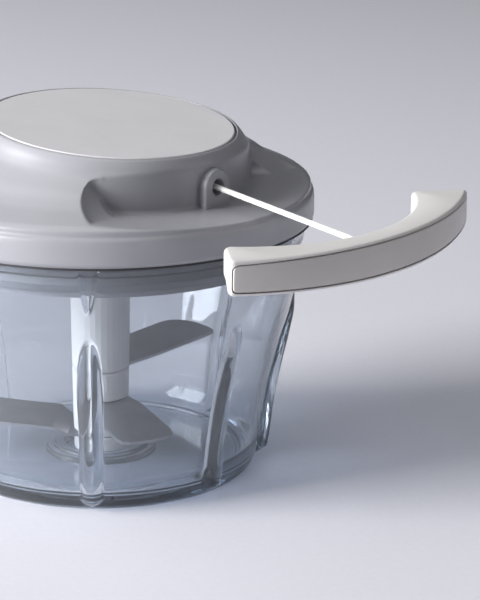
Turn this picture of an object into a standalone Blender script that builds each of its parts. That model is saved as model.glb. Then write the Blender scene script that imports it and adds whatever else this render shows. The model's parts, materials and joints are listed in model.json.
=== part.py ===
"""Pull-cord food chopper: a clear ribbed bowl, a three-blade tower on a pin, and a
domed lid that holds a cord reel, its recoil spring and a curved pull handle.

Metres, +Z up. The origin is on the bowl's axis at the plane the foot ring stands on.
+X is the direction in which the handle is pulled.
"""

import math

import bmesh
import bpy
from mathutils import Matrix, Vector

MM = 0.001
MERGE = 0.01 * MM
CLEARANCE = 0.3 * MM
OVERRUN = 5.0 * MM
STEPS = 64
SMALL_STEPS = 32

# Bowl
BOWL_HEIGHT = 85.7 * MM
FOOT_WIDTH = 2.4 * MM
FOOT_HEIGHT = 0.8 * MM
FOOT_ROUND = 1.6 * MM
BASE_R = 53.4 * MM
FOOT_INSET = 2.8 * MM
FOOT_R = BASE_R - FOOT_INSET
MOUTH_R = 67.3 * MM
RIM_PROUD = 1.1 * MM
RIM_R = MOUTH_R + RIM_PROUD
RIM_HEIGHT = 5.5 * MM
RIM_EDGE = 0.8 * MM
BOWL_WALL = 2.4 * MM
FLOOR_THICK = 3.2 * MM
FLOOR_CORNER = 3.4 * MM
# (share of the bowl's height, share of the way from base radius to mouth radius)
WALL_SHARES = (
    (0.053, 0.0),
    (0.117, 0.065),
    (0.21, 0.13),
    (0.315, 0.237),
    (0.42, 0.381),
    (0.525, 0.547),
    (0.63, 0.741),
    (0.723, 0.856),
    (0.817, 0.935),
    (0.904, 1.0),
)

RIB_COUNT = 8
RIB_R = 4.1 * MM
RIB_AZIMUTH = math.radians(-49.4)
RIB_SIDES = 3
# (share of the bowl's height, how far the rib stands proud as a share of its radius)
RIB_SHARES = (
    (0.05, 0.834),
    (0.2, 0.817),
    (0.315, 0.78),
    (0.42, 0.73),
    (0.525, 0.63),
    (0.63, 0.35),
    (0.68, 0.24),
    (0.755, -0.1),
)
RIB_TOE_SHARE = 0.35
SCALLOP_R = 4.2 * MM
SCALLOP_LENGTH = 15.0 * MM
SCALLOP_DEPTH = 2.0 * MM
SCALLOP_POINT_SHARE = 0.05

CUP_RING_R = 18.5 * MM
CUP_OUTER_R = 15.8 * MM
CUP_INNER_R = 12.2 * MM
CUP_STEP = 1.4 * MM
CUP_HEIGHT = 2.5 * MM
PIN_BOSS_R = 3.9 * MM
PIN_BOSS_HEIGHT = 5.5 * MM

# Height of the lid's foot, just above the bowl's rim
LID_GAP = 0.7 * MM
LID_FOOT = BOWL_HEIGHT + LID_GAP

# Pivot pin and blade tower
PIN_R = 2.5 * MM
PIN_FOOT = 2.2 * MM
PIN_TOP = 48.0 * MM
PIN_EDGE = 0.6 * MM
BUSH_WALL = 1.4 * MM
BUSH_LENGTH = 32.0 * MM
TOWER_FOOT_R = 9.2 * MM
TOWER_HEAD_R = 10.4 * MM
TOWER_HEADROOM = 8.2 * MM
TOWER_TOP = LID_FOOT - TOWER_HEADROOM
TOWER_EDGE = 0.5 * MM
SEAM_LOW = 9.9 * MM
SEAM_MIDDLE = 22.6 * MM
SEAM_HIGH = 32.9 * MM
BLADE_THICK = 1.0 * MM
BLADE_HALF_WIDTH = 9.2 * MM
BLADE_ROOT_SHARE = 0.86
BLADE_RING_R = 8.2 * MM
BLADE_BEND_START = 10.2 * MM
BLADE_BEND_LENGTH = 5.0 * MM
BLADE_WALL_GAP = 1.9 * MM
UPPER_LIFT = 0.6 * MM
MIDDLE_LIFT = -0.2 * MM
LOWER_LIFT = 2.9 * MM
# (share of the blade's reach, share of its half width), anticlockwise from the clockwise edge
SWEPT_SHARES = (
    (0.28, -1.0),
    (0.9, -1.06),
    (0.96, -1.04),
    (0.985, -0.93),
    (0.998, -0.65),
    (1.005, -0.1),
    (0.995, 0.35),
    (0.97, 0.68),
    (0.925, 0.9),
    (0.86, 1.0),
    (0.28, 0.98),
)
BLUNT_SHARES = (
    (0.28, -1.0),
    (0.88, -1.03),
    (0.94, -0.97),
    (0.975, -0.75),
    (0.995, -0.35),
    (1.0, 0.1),
    (0.99, 0.5),
    (0.965, 0.78),
    (0.92, 0.95),
    (0.86, 1.0),
    (0.28, 1.0),
)
SPINDLE_R = 6.1 * MM
SPINDLE_SIDES = 6
SPINDLE_SEAT = 8.0 * MM
SPINDLE_HEADROOM = 3.8 * MM
SPINDLE_TOP = LID_FOOT - SPINDLE_HEADROOM

# Lid
LID_OVERHANG = 2.9 * MM
LID_R = RIM_R + LID_OVERHANG
LID_HEIGHT = 31.2 * MM
LID_TOP = LID_FOOT + LID_HEIGHT
LID_WALL = 2.4 * MM
DISC_INSET = 30.6 * MM
DISC_R = LID_R - DISC_INSET
DISC_THICK = 1.6 * MM
DISC_OFFSET = 5.4 * MM
DISC_EDGE = 0.3 * MM
LID_TILT = 0.086
TILT_START_SHARE = 0.532
TILT_END_SHARE = 0.869
CLIP_R = 1.6 * MM
CLIP_INSET = 15.7 * MM
CLIP_CIRCLE = DISC_R - CLIP_INSET
CLIP_COUNT = 3
# (share of the way from disc edge to lid radius, share of the lid's height above its rim)
DOME_SHARES = (
    (0.0, 1.0),
    (0.033, 0.987),
    (0.073, 0.945),
    (0.12, 0.878),
    (0.183, 0.808),
    (0.277, 0.75),
    (0.397, 0.679),
    (0.523, 0.583),
    (0.657, 0.51),
    (0.81, 0.446),
    (0.91, 0.404),
    (0.963, 0.365),
    (0.957, 0.314),
    (0.99, 0.282),
    (1.0, 0.231),
    (1.0, 0.032),
    (0.98, 0.0),
)
POCKET_DEPTH = 20.3 * MM
POCKET_R = LID_R - POCKET_DEPTH
POCKET_AZIMUTH = math.radians(47.0)
POCKET_NOSE_R = 5.6 * MM
# heights as shares of the lid's height
POCKET_NOSE_SHARE = 0.5801
LEDGE_SHARE = 0.5128
OUTLET_SHARE = 0.5481
CORD_EXIT_SHARE = 0.5721
POCKET_NOSE_Z = LID_FOOT + POCKET_NOSE_SHARE * LID_HEIGHT
LEDGE_Z = LID_FOOT + LEDGE_SHARE * LID_HEIGHT
OUTLET_Z = LID_FOOT + OUTLET_SHARE * LID_HEIGHT
OUTLET_R = 2.6 * MM
ARCH_R = 5.8 * MM
ARCH_PROUD = 3.8 * MM

BASE_PLATE_THICK = 2.4 * MM
BASE_PLATE_R = LID_R - LID_WALL - 2 * CLEARANCE
SKIRT_GAP = 2.9 * MM
SKIRT_R = MOUTH_R - BOWL_WALL - SKIRT_GAP
SKIRT_WALL = 2.0 * MM
SKIRT_DEPTH = 11.3 * MM
SEAL_HEIGHT = 4.0 * MM
SEAL_DROP = 4.5 * MM
SEAL_GROOVE = 1.0 * MM
SCREW_INSET = 10.0 * MM
SCREW_CIRCLE = SKIRT_R - SCREW_INSET
SCREW_AZIMUTHS = (math.radians(100.0), math.radians(180.0), math.radians(260.0))
SCREW_R = 1.4 * MM
SCREW_LENGTH = 9.0 * MM
SCREW_HEAD_R = 2.8 * MM
SCREW_HEAD_HEIGHT = 1.8 * MM
SCREW_BOSS_R = 3.8 * MM
DRIVE_SLOT_WIDTH = 0.8 * MM
DRIVE_SLOT_DEPTH = 0.7 * MM

# Reel, spring and drive, all on the lid's axle
AXLE_R = 2.8 * MM
AXLE_HEAD_INSET = 0.9 * MM
AXLE_HEAD_R = SPINDLE_R - AXLE_HEAD_INSET
AXLE_HEAD_HEIGHT = 1.0 * MM
AXLE_GRIP = 2.6 * MM
AXLE_BOSS_R = 5.5 * MM
WASHER_INSET = 0.7 * MM
WASHER_R = SPINDLE_R - WASHER_INSET
WASHER_THICK = 0.7 * MM
HUB_R = 11.9 * MM
HUB_GAP = 0.7 * MM
HUB_DROP = 7.4 * MM
HUB_FLANGE_R = 14.5 * MM
HUB_FLANGE_THICK = 1.4 * MM
ARBOR_R = 6.2 * MM
SOCKET_PLAY = 0.4 * MM
CUP_R = 27.0 * MM
CUP_WALL = 1.2 * MM
CUP_WALL_HEIGHT = 8.6 * MM
SPRING_HEIGHT = 6.0 * MM
SPRING_STRIP = 0.5 * MM
SPRING_TURNS = 5
SPRING_STEPS = 20
REEL_R = 23.5 * MM
BARREL_R = 14.2 * MM
REEL_FLANGE = 1.5 * MM
# the lid's height less all that is stacked in it above and below the cord's channel
REEL_STACK = 23.4 * MM
REEL_CHANNEL = LID_HEIGHT - REEL_STACK
WINDING_THICK = 1.5 * MM

# Cord and handle
CORD_R = 0.9 * MM
EYELET_R = 4.2 * MM
EYELET_THICK = 2.2 * MM
EYELET_BORE_R = 1.5 * MM
EYELET_LIP_R = 2.2 * MM
EYELET_LIP = 0.8 * MM
CORD_EXIT_INSET = 6.4 * MM
CORD_EXIT_X = POCKET_R - CORD_EXIT_INSET
CORD_EXIT_Z = LID_FOOT + CORD_EXIT_SHARE * LID_HEIGHT
CORD_SLOPE = -0.1252
CORD_STEPS = 26
CORD_BEND_SHARE = 0.04
HANDLE_RISE = 14.6 * MM
HANDLE_TOP = LID_FOOT + HANDLE_RISE
HANDLE_HEIGHT = 12.3 * MM
HANDLE_END_RISE = 1.8 * MM
HANDLE_BACK_RISE = 2.8 * MM
HANDLE_REACH = 52.9 * MM
HANDLE_FRONT_X = LID_R + HANDLE_REACH
HANDLE_THICK = 9.0 * MM
HANDLE_FRONT_R = 112.0 * MM
HANDLE_BACK_R = 60.0 * MM
HANDLE_HALF = 58.8 * MM
HANDLE_BACK_HALF = 45.8 * MM
HANDLE_STEPS = 16
HANDLE_EDGE = 1.3 * MM
INSERT_DEPTH = 1.6 * MM
INSERT_TOP_MARGIN = 1.3 * MM
INSERT_LOW_MARGIN = 1.7 * MM
INSERT_END_MARGIN = 2.9 * MM
INSERT_EDGE = 0.35 * MM
KNOT_R = 2.3 * MM
KNOT_BORE_R = 1.3 * MM
KNOT_SEAT = 1.9 * MM


def clear_scene():
    """Remove every object that is in the file."""
    for item in list(bpy.data.objects):
        bpy.data.objects.remove(item, do_unlink=True)


def new_collection(name):
    """Add a collection under the scene's own."""
    group = bpy.data.collections.new(name)
    bpy.context.scene.collection.children.link(group)
    return group


clear_scene()
PARTS = new_collection("food_chopper")
CUTTERS = new_collection("cutters")


def finish(name, colour, roughness, metallic=0.0, transmission=0.0):
    """A Principled material with one colour."""
    material = bpy.data.materials.new(name)
    material.use_nodes = True
    shader = material.node_tree.nodes["Principled BSDF"]
    shader.inputs["Base Color"].default_value = (*colour, 1.0)
    shader.inputs["Roughness"].default_value = roughness
    shader.inputs["Metallic"].default_value = metallic
    shader.inputs["Transmission Weight"].default_value = transmission
    return material


def add_object(name, mesh, material):
    """Put a mesh in the part's collection, or with the cutters where it has no material."""
    item = bpy.data.objects.new(name, mesh)
    if material is None:
        CUTTERS.objects.link(item)
        item.hide_render = True
        item.display_type = "WIRE"
    else:
        mesh.materials.append(material)
        PARTS.objects.link(item)
    return item


def settled(item):
    """Replace an object's data by its evaluated mesh with the loose ends welded."""
    bpy.context.view_layer.update()
    evaluated = item.evaluated_get(bpy.context.evaluated_depsgraph_get())
    mesh = bpy.data.meshes.new_from_object(evaluated)
    mesh.transform(item.matrix_world)
    shape = bmesh.new()
    shape.from_mesh(mesh)
    bmesh.ops.remove_doubles(shape, verts=shape.verts, dist=MERGE)
    bmesh.ops.recalc_face_normals(shape, faces=shape.faces)
    shape.to_mesh(mesh)
    shape.free()
    bpy.data.objects.remove(item, do_unlink=True)
    return mesh


def turned(name, points, material, steps=STEPS, closed=False):
    """A body turned about Z from (radius, height) points that run down its outer side."""
    mesh = bpy.data.meshes.new(name)
    edges = [(i, i + 1) for i in range(len(points) - 1)]
    if closed:
        edges.append((len(points) - 1, 0))
    mesh.from_pydata([(r, 0.0, z) for r, z in points], edges, [])
    item = bpy.data.objects.new(name, mesh)
    PARTS.objects.link(item)
    screw = item.modifiers.new("turn", "SCREW")
    screw.steps = steps
    screw.render_steps = steps
    screw.use_merge_vertices = True
    screw.merge_threshold = MERGE
    screw.use_smooth_shade = True
    mesh = settled(item)
    mesh.set_sharp_from_angle(angle=math.radians(35.0))
    return add_object(name, mesh, material)


def plate(name, outline, low, high, material):
    """A flat outline of (x, y) points made solid between two heights."""
    curve = bpy.data.curves.new(name, "CURVE")
    curve.dimensions = "2D"
    curve.fill_mode = "BOTH"
    curve.extrude = (high - low) / 2
    spline = curve.splines.new("POLY")
    spline.points.add(len(outline) - 1)
    for point, (x, y) in zip(spline.points, outline):
        point.co = (x, y, 0.0, 1.0)
    spline.use_cyclic_u = True
    item = bpy.data.objects.new(name, curve)
    PARTS.objects.link(item)
    item.location.z = (low + high) / 2
    return add_object(name, settled(item), material)


def tube(name, points, radius, shares, sides, material):
    """A round bar along points, whose radius at each is a share of the given one."""
    curve = bpy.data.curves.new(name, "CURVE")
    curve.dimensions = "3D"
    curve.bevel_depth = radius
    curve.bevel_resolution = sides
    curve.use_fill_caps = True
    spline = curve.splines.new("POLY")
    spline.points.add(len(points) - 1)
    for point, place, share in zip(spline.points, points, shares):
        point.co = (*place, 1.0)
        point.radius = share
    item = bpy.data.objects.new(name, curve)
    PARTS.objects.link(item)
    return add_object(name, settled(item), material)


def cylinder(name, radius, low, high, material, steps=SMALL_STEPS, place=(0.0, 0.0)):
    """An upright cylinder or prism."""
    shape = bmesh.new()
    bmesh.ops.create_cone(
        shape, cap_ends=True, segments=steps, radius1=radius, radius2=radius, depth=high - low
    )
    mesh = bpy.data.meshes.new(name)
    shape.to_mesh(mesh)
    shape.free()
    mesh.transform(Matrix.Translation((place[0], place[1], (low + high) / 2)))
    mesh.shade_smooth()
    mesh.set_sharp_from_angle(angle=math.radians(35.0))
    return add_object(name, mesh, material)


def cut(item, cutter, operation="DIFFERENCE"):
    """Cut one body by another, or join them, with an exact Boolean."""
    boolean = item.modifiers.new(operation.lower(), "BOOLEAN")
    boolean.operation = operation
    boolean.object = cutter
    boolean.solver = "EXACT"


def rounded(item, width, segments=2, angle=math.radians(35.0)):
    """Round the sharp edges of a body."""
    bevel = item.modifiers.new("edges", "BEVEL")
    bevel.width = width
    bevel.segments = segments
    bevel.limit_method = "ANGLE"
    bevel.angle_limit = angle
    return item


def moved(item, change):
    """Move each vertex of a body to the place that a function gives for it."""
    for vertex in item.data.vertices:
        vertex.co = change(vertex.co)
    item.data.update()
    return item


def arc(centre_x, radius, half_width, steps, front=True):
    """Points of an arc about a centre on the X axis, from -Y to +Y."""
    reach = math.asin(half_width / radius)
    points = []
    for i in range(steps + 1):
        angle = reach * (2 * i / steps - 1)
        points.append((centre_x + radius * math.cos(angle), radius * math.sin(angle)))
    return points if front else points[::-1]


def wall_radius(height):
    """Radius of the bowl's outer wall between the ribs at a height."""
    share = height / BOWL_HEIGHT
    below = WALL_SHARES[0]
    for above in WALL_SHARES:
        if share <= above[0]:
            break
        below = above
    if above[0] == below[0]:
        return BASE_R + (MOUTH_R - BASE_R) * below[1]
    part = min(max((share - below[0]) / (above[0] - below[0]), 0.0), 1.0)
    return BASE_R + (MOUTH_R - BASE_R) * (below[1] + part * (above[1] - below[1]))


SAN = finish("clear_san", (0.5, 0.56, 0.62), 0.05, transmission=0.9)
GREY_ABS = finish("grey_abs", (0.33, 0.33, 0.34), 0.4)
PALE_DISC = finish("pale_disc", (0.55, 0.54, 0.53), 0.45)
TOWER_ABS = finish("tower_abs", (0.62, 0.6, 0.59), 0.45)
HANDLE_ABS = finish("handle_abs", (0.76, 0.75, 0.74), 0.4)
INSERT_TPE = finish("insert_tpe", (0.46, 0.44, 0.43), 0.55)
BLADE_STEEL = finish("blade_steel", (0.3, 0.3, 0.31), 0.4, metallic=1.0)
PIN_STEEL = finish("pin_steel", (0.6, 0.6, 0.6), 0.25, metallic=1.0)
SPRING_STEEL = finish("spring_steel", (0.32, 0.34, 0.38), 0.35, metallic=1.0)
SILICONE = finish("silicone", (0.4, 0.4, 0.41), 0.7)
ACETAL = finish("acetal", (0.8, 0.8, 0.78), 0.35)
CORD_NYLON = finish("cord_nylon", (0.85, 0.84, 0.82), 0.8)

CUP_FLOOR = FOOT_HEIGHT + FLOOR_THICK
RIB_HEADINGS = [RIB_AZIMUTH + 2 * math.pi * i / RIB_COUNT for i in range(RIB_COUNT)]


def bowl_outside():
    """Profile of the bowl's outside, from the middle of its mouth down to its underside."""
    rim_low = BOWL_HEIGHT - RIM_HEIGHT
    points = [(0.0, BOWL_HEIGHT), (RIM_R - RIM_EDGE, BOWL_HEIGHT), (RIM_R, BOWL_HEIGHT - RIM_EDGE)]
    points.append((RIM_R, rim_low))
    for share, _ in reversed(WALL_SHARES):
        height = share * BOWL_HEIGHT
        points.append((wall_radius(height), height))
    points.append((FOOT_R + FOOT_ROUND, FOOT_ROUND))
    points.append((FOOT_R, 0.0))
    points.append((FOOT_R - FOOT_WIDTH, 0.0))
    points.append((FOOT_R - FOOT_WIDTH, FOOT_HEIGHT))
    points.append((0.0, FOOT_HEIGHT))
    return points


def bowl_inside():
    """Profile of the space in the bowl, with the cup and pin boss in its floor."""
    points = [(0.0, BOWL_HEIGHT + OVERRUN), (MOUTH_R - BOWL_WALL, BOWL_HEIGHT + OVERRUN)]
    for share, _ in reversed(WALL_SHARES[1:]):
        height = share * BOWL_HEIGHT
        points.append((wall_radius(height) - BOWL_WALL, height))
    corner = wall_radius(CUP_FLOOR) - BOWL_WALL
    points.append((corner - FLOOR_CORNER / 3, CUP_FLOOR + FLOOR_CORNER / 3))
    points.append((corner - FLOOR_CORNER, CUP_FLOOR))
    points.append((CUP_RING_R, CUP_FLOOR))
    points.append((CUP_RING_R, CUP_FLOOR + CUP_STEP))
    points.append((CUP_OUTER_R, CUP_FLOOR + CUP_STEP))
    points.append((CUP_OUTER_R, CUP_FLOOR + CUP_HEIGHT))
    points.append((CUP_INNER_R, CUP_FLOOR + CUP_HEIGHT))
    points.append((CUP_INNER_R, CUP_FLOOR))
    points.append((PIN_BOSS_R, CUP_FLOOR))
    points.append((PIN_BOSS_R, CUP_FLOOR + PIN_BOSS_HEIGHT))
    points.append((0.0, CUP_FLOOR + PIN_BOSS_HEIGHT))
    return points


def rib_line(heading):
    """Middle line of one rib, up the wall and into it under the rim."""
    places = []
    toe = FOOT_ROUND
    for height, radius in [(toe, FOOT_R + FOOT_ROUND / 2)] + [
        (share * BOWL_HEIGHT, wall_radius(share * BOWL_HEIGHT) + (proud - 1.0) * RIB_R)
        for share, proud in RIB_SHARES
    ]:
        places.append((radius * math.cos(heading), radius * math.sin(heading), height))
    return places


def make_bowl():
    """Bowl with its ribs, rim scallops, foot ring and floor cup."""
    bowl = turned("bowl", bowl_outside(), SAN)
    for heading in RIB_HEADINGS:
        shares = [RIB_TOE_SHARE] + [1.0] * len(RIB_SHARES)
        rib = tube("rib", rib_line(heading), RIB_R, shares, RIB_SIDES, None)
        cut(bowl, rib, "UNION")
    cut(bowl, turned("bowl_space", bowl_inside(), None))
    for heading in RIB_HEADINGS:
        low = BOWL_HEIGHT - SCALLOP_LENGTH
        axis_r = RIM_R + SCALLOP_R - SCALLOP_DEPTH
        ends = [(wall_radius(low), low), (axis_r, BOWL_HEIGHT + MERGE)]
        line = [(r * math.cos(heading), r * math.sin(heading), z) for r, z in ends]
        cut(bowl, tube("scallop", line, SCALLOP_R, [SCALLOP_POINT_SHARE, 1.0], RIB_SIDES, None))
    hole_r = PIN_R + CLEARANCE
    cut(bowl, cylinder("pin_hole", hole_r, PIN_FOOT, BOWL_HEIGHT, None))


def make_pin():
    """Steel pin in the bowl's floor boss."""
    low = PIN_FOOT + CLEARANCE
    points = [(0.0, PIN_TOP), (PIN_R - PIN_EDGE, PIN_TOP), (PIN_R, PIN_TOP - PIN_EDGE)]
    points += [(PIN_R, low), (0.0, low)]
    turned("pivot_pin", points, PIN_STEEL, SMALL_STEPS)


TOWER_FOOT = CUP_FLOOR + CLEARANCE
BUSH_R = PIN_R + CLEARANCE + BUSH_WALL
TOWER_BORE_R = BUSH_R + CLEARANCE
BUSH_LOW = CUP_FLOOR + PIN_BOSS_HEIGHT + CLEARANCE
# seam height, whether the blade lies above its seam, outline and azimuth
BLADES = {
    "upper_blade": (SEAM_HIGH, True, SWEPT_SHARES, math.radians(94.5)),
    "middle_blade": (SEAM_MIDDLE, False, BLUNT_SHARES, math.radians(-25.5)),
    "lower_blade": (SEAM_LOW, True, BLUNT_SHARES, math.radians(214.5)),
}
# share of the wall radius that a blade reaches, lift, rise along it and rise across it
BLADE_BENDS = {
    "upper_blade": (1.0, UPPER_LIFT, 0.0, 0.075),
    "middle_blade": (0.88, MIDDLE_LIFT, -0.03, 0.05),
    "lower_blade": (0.97, LOWER_LIFT, 0.058, -0.1),
}


def tower_radius(height):
    """Outer radius of the blade tower, which widens evenly upwards."""
    share = (height - TOWER_FOOT) / (TOWER_TOP - TOWER_FOOT)
    return TOWER_FOOT_R + share * (TOWER_HEAD_R - TOWER_FOOT_R)


def blade_shape(name, grow, material):
    """One blade's plate: a ring in the tower and an arm that bends outside it."""
    seam, above, shares, heading = BLADES[name]
    reach_share, lift, along_rise, across_rise = BLADE_BENDS[name]
    low = seam + CLEARANCE / 2 if above else seam - CLEARANCE / 2 - BLADE_THICK
    reach = (wall_radius(low) - BOWL_WALL - BLADE_WALL_GAP) * reach_share + grow
    outline = []
    for along, across in shares:
        side = math.copysign(grow, across)
        outline.append((along * reach, across * BLADE_HALF_WIDTH + side))
    ring_r = BLADE_RING_R + grow
    start = math.asin((BLADE_HALF_WIDTH * BLADE_ROOT_SHARE + grow) / ring_r)
    for i in range(SMALL_STEPS // 2 + 1):
        angle = start + (2 * math.pi - 2 * start) * i / (SMALL_STEPS // 2)
        outline.append((ring_r * math.cos(angle), ring_r * math.sin(angle)))
    blade = plate(name, outline, low - grow, low + BLADE_THICK + grow, material)
    if material is not None:
        bore_r = TOWER_BORE_R + CLEARANCE
        cut(blade, cylinder(name + "_bore", bore_r, 0.0, BOWL_HEIGHT, None))
    subdivide(blade)

    def bent(place):
        out = place.x - BLADE_BEND_START
        bend = min(max(out / BLADE_BEND_LENGTH, 0.0), 1.0)
        rise = lift + along_rise * out + across_rise * place.y
        return Vector((place.x, place.y, place.z + rise * bend))

    moved(blade, bent)
    blade.rotation_euler.z = heading
    return blade


def subdivide(item):
    """Give a plate the edges that its bend needs, square to its length."""
    shape = bmesh.new()
    shape.from_mesh(item.data)
    for place in (BLADE_BEND_START, BLADE_BEND_START + BLADE_BEND_LENGTH):
        bmesh.ops.bisect_plane(
            shape,
            geom=shape.verts[:] + shape.edges[:] + shape.faces[:],
            dist=MERGE,
            plane_co=(place, 0.0, 0.0),
            plane_no=(1.0, 0.0, 0.0),
        )
    bmesh.ops.triangulate(shape, faces=[f for f in shape.faces if len(f.verts) > 3])
    shape.to_mesh(item.data)
    shape.free()


def make_blades():
    """The three blades, and the shapes that clear them in the tower."""
    spaces = []
    for name in BLADES:
        blade_shape(name, 0.0, BLADE_STEEL)
        spaces.append(blade_shape(name, CLEARANCE, None))
    return spaces


def tower_section(name, low, high, spaces):
    """One turned section of the tower, cut clear of the blades that it clamps."""
    points = [
        (TOWER_BORE_R, high),
        (tower_radius(high) - TOWER_EDGE, high),
        (tower_radius(high), high - TOWER_EDGE),
        (tower_radius(low), low + TOWER_EDGE),
        (tower_radius(low) - TOWER_EDGE, low),
        (TOWER_BORE_R, low),
    ]
    section = turned(name, points, TOWER_ABS, SMALL_STEPS, closed=True)
    for space in spaces:
        cut(section, space)
    return section


def make_tower():
    """Blade tower: four stacked sections, the bush that runs on the pin and the drive spindle."""
    spaces = make_blades()
    half = CLEARANCE / 2
    upper, middle, lower = spaces
    tower_section("shaft_foot", TOWER_FOOT, SEAM_LOW - half, [])
    tower_section("lower_spacer", SEAM_LOW + half, SEAM_MIDDLE - half, [middle, lower])
    tower_section("upper_spacer", SEAM_MIDDLE + half, SEAM_HIGH - half, [])
    shaft = tower_section("blade_shaft", SEAM_HIGH + half, TOWER_TOP, [upper])
    seat = TOWER_TOP - SPINDLE_SEAT
    hole_r = SPINDLE_R + CLEARANCE
    cut(shaft, cylinder("spindle_seat", hole_r, seat, TOWER_TOP + OVERRUN, None, SPINDLE_SIDES))
    low = seat + CLEARANCE
    cylinder("drive_spindle", SPINDLE_R, low, SPINDLE_TOP, PIN_STEEL, SPINDLE_SIDES)
    bush = [
        (PIN_R + CLEARANCE, BUSH_LOW + BUSH_LENGTH),
        (BUSH_R, BUSH_LOW + BUSH_LENGTH),
        (BUSH_R, BUSH_LOW),
        (PIN_R + CLEARANCE, BUSH_LOW),
    ]
    turned("shaft_bush", bush, ACETAL, SMALL_STEPS, closed=True)


DISC_SEAT = DISC_THICK + CLEARANCE
SEAT_R = DISC_R + CLEARANCE * 2
PLATE_LOW = LID_FOOT - CLEARANCE / 2
PLATE_TOP = PLATE_LOW + BASE_PLATE_THICK
TILT_LOW = LID_FOOT + TILT_START_SHARE * (LID_TOP - LID_FOOT)
TILT_HIGH = LID_FOOT + TILT_END_SHARE * (LID_TOP - LID_FOOT)


def dome_points():
    """Outer profile of the lid, from the disc's edge down to its foot, before it is tilted."""
    edge = SEAT_R
    points = []
    for out, up in DOME_SHARES:
        points.append((edge + out * (LID_R - edge), LID_FOOT + up * (LID_TOP - LID_FOOT)))
    return points


def inset(points, wall):
    """The same profile drawn one wall thickness inside."""
    moved_in = []
    for i, (r, z) in enumerate(points):
        before = points[max(i - 1, 0)]
        after = points[min(i + 1, len(points) - 1)]
        run = Vector((after[0] - before[0], after[1] - before[1])).normalized()
        moved_in.append((r + run.y * wall, z - run.x * wall))
    return moved_in


def tilted(place):
    """Shear the top of the lid down towards the pull side and out to the disc's centre."""
    share = min(max((place.z - TILT_LOW) / (TILT_HIGH - TILT_LOW), 0.0), 1.0)
    share = share * share * (3 - 2 * share)
    drop = LID_TILT * place.x * share
    return Vector((place.x + DISC_OFFSET * share, place.y, place.z - drop))


def make_pocket(name, grow):
    """The space of the handle's recess, grown by a wall where one is wanted."""
    far = LID_R + OVERRUN
    near = POCKET_R - grow
    reach = POCKET_AZIMUTH
    steps = STEPS // 4
    outline = []
    for radius, order in ((near, range(steps + 1)), (far, range(steps, -1, -1))):
        for i in order:
            angle = reach * (2 * i / steps - 1)
            outline.append((radius * math.cos(angle), radius * math.sin(angle)))
    ceiling = LID_TOP + OVERRUN
    pocket = plate(name, outline, LID_FOOT, ceiling, None)

    def on_ledge(place):
        if place.z > LID_TOP:
            return place
        return Vector((place.x, place.y, LEDGE_Z - grow - LID_TILT * place.x))

    moved(pocket, on_ledge)
    for side in (-1, 1):
        heading = side * POCKET_AZIMUTH
        toward = Vector((math.cos(heading), math.sin(heading), 0.0))
        ends = [toward * (near - CLEARANCE / 2), toward * (far + OVERRUN)]
        line = [(p.x, p.y, POCKET_NOSE_Z) for p in ends]
        nose = tube(name + "_nose", line, POCKET_NOSE_R + grow, [1.0, 1.0], 4, None)
        cut(pocket, nose, "UNION")
    return pocket


def make_lid_space():
    """The hollow of the lid: its inner profile, held clear of the recess by one wall."""
    points = inset(dome_points(), LID_WALL)
    roof = LID_TOP - DISC_SEAT - LID_WALL
    inner = [(r, z) for r, z in points if z < roof]
    inner = [(0.0, roof), (inner[0][0] - LID_WALL, roof)] + inner[:-1]
    foot_r = inner[-1][0]
    inner += [(foot_r, LID_FOOT - OVERRUN), (0.0, LID_FOOT - OVERRUN)]
    space = moved(turned("lid_space", inner, None), tilted)
    cut(space, make_pocket("pocket_wall", LID_WALL))
    return space


def arch_outline(radius, low, high):
    """An arch on edge: straight sides up to a half round, as (y, z) points."""
    points = [(-radius, low), (radius, low)]
    for i in range(SMALL_STEPS // 2 + 1):
        angle = math.pi * i / (SMALL_STEPS // 2)
        points.append((radius * math.cos(angle), high + radius * math.sin(angle)))
    return points


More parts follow.
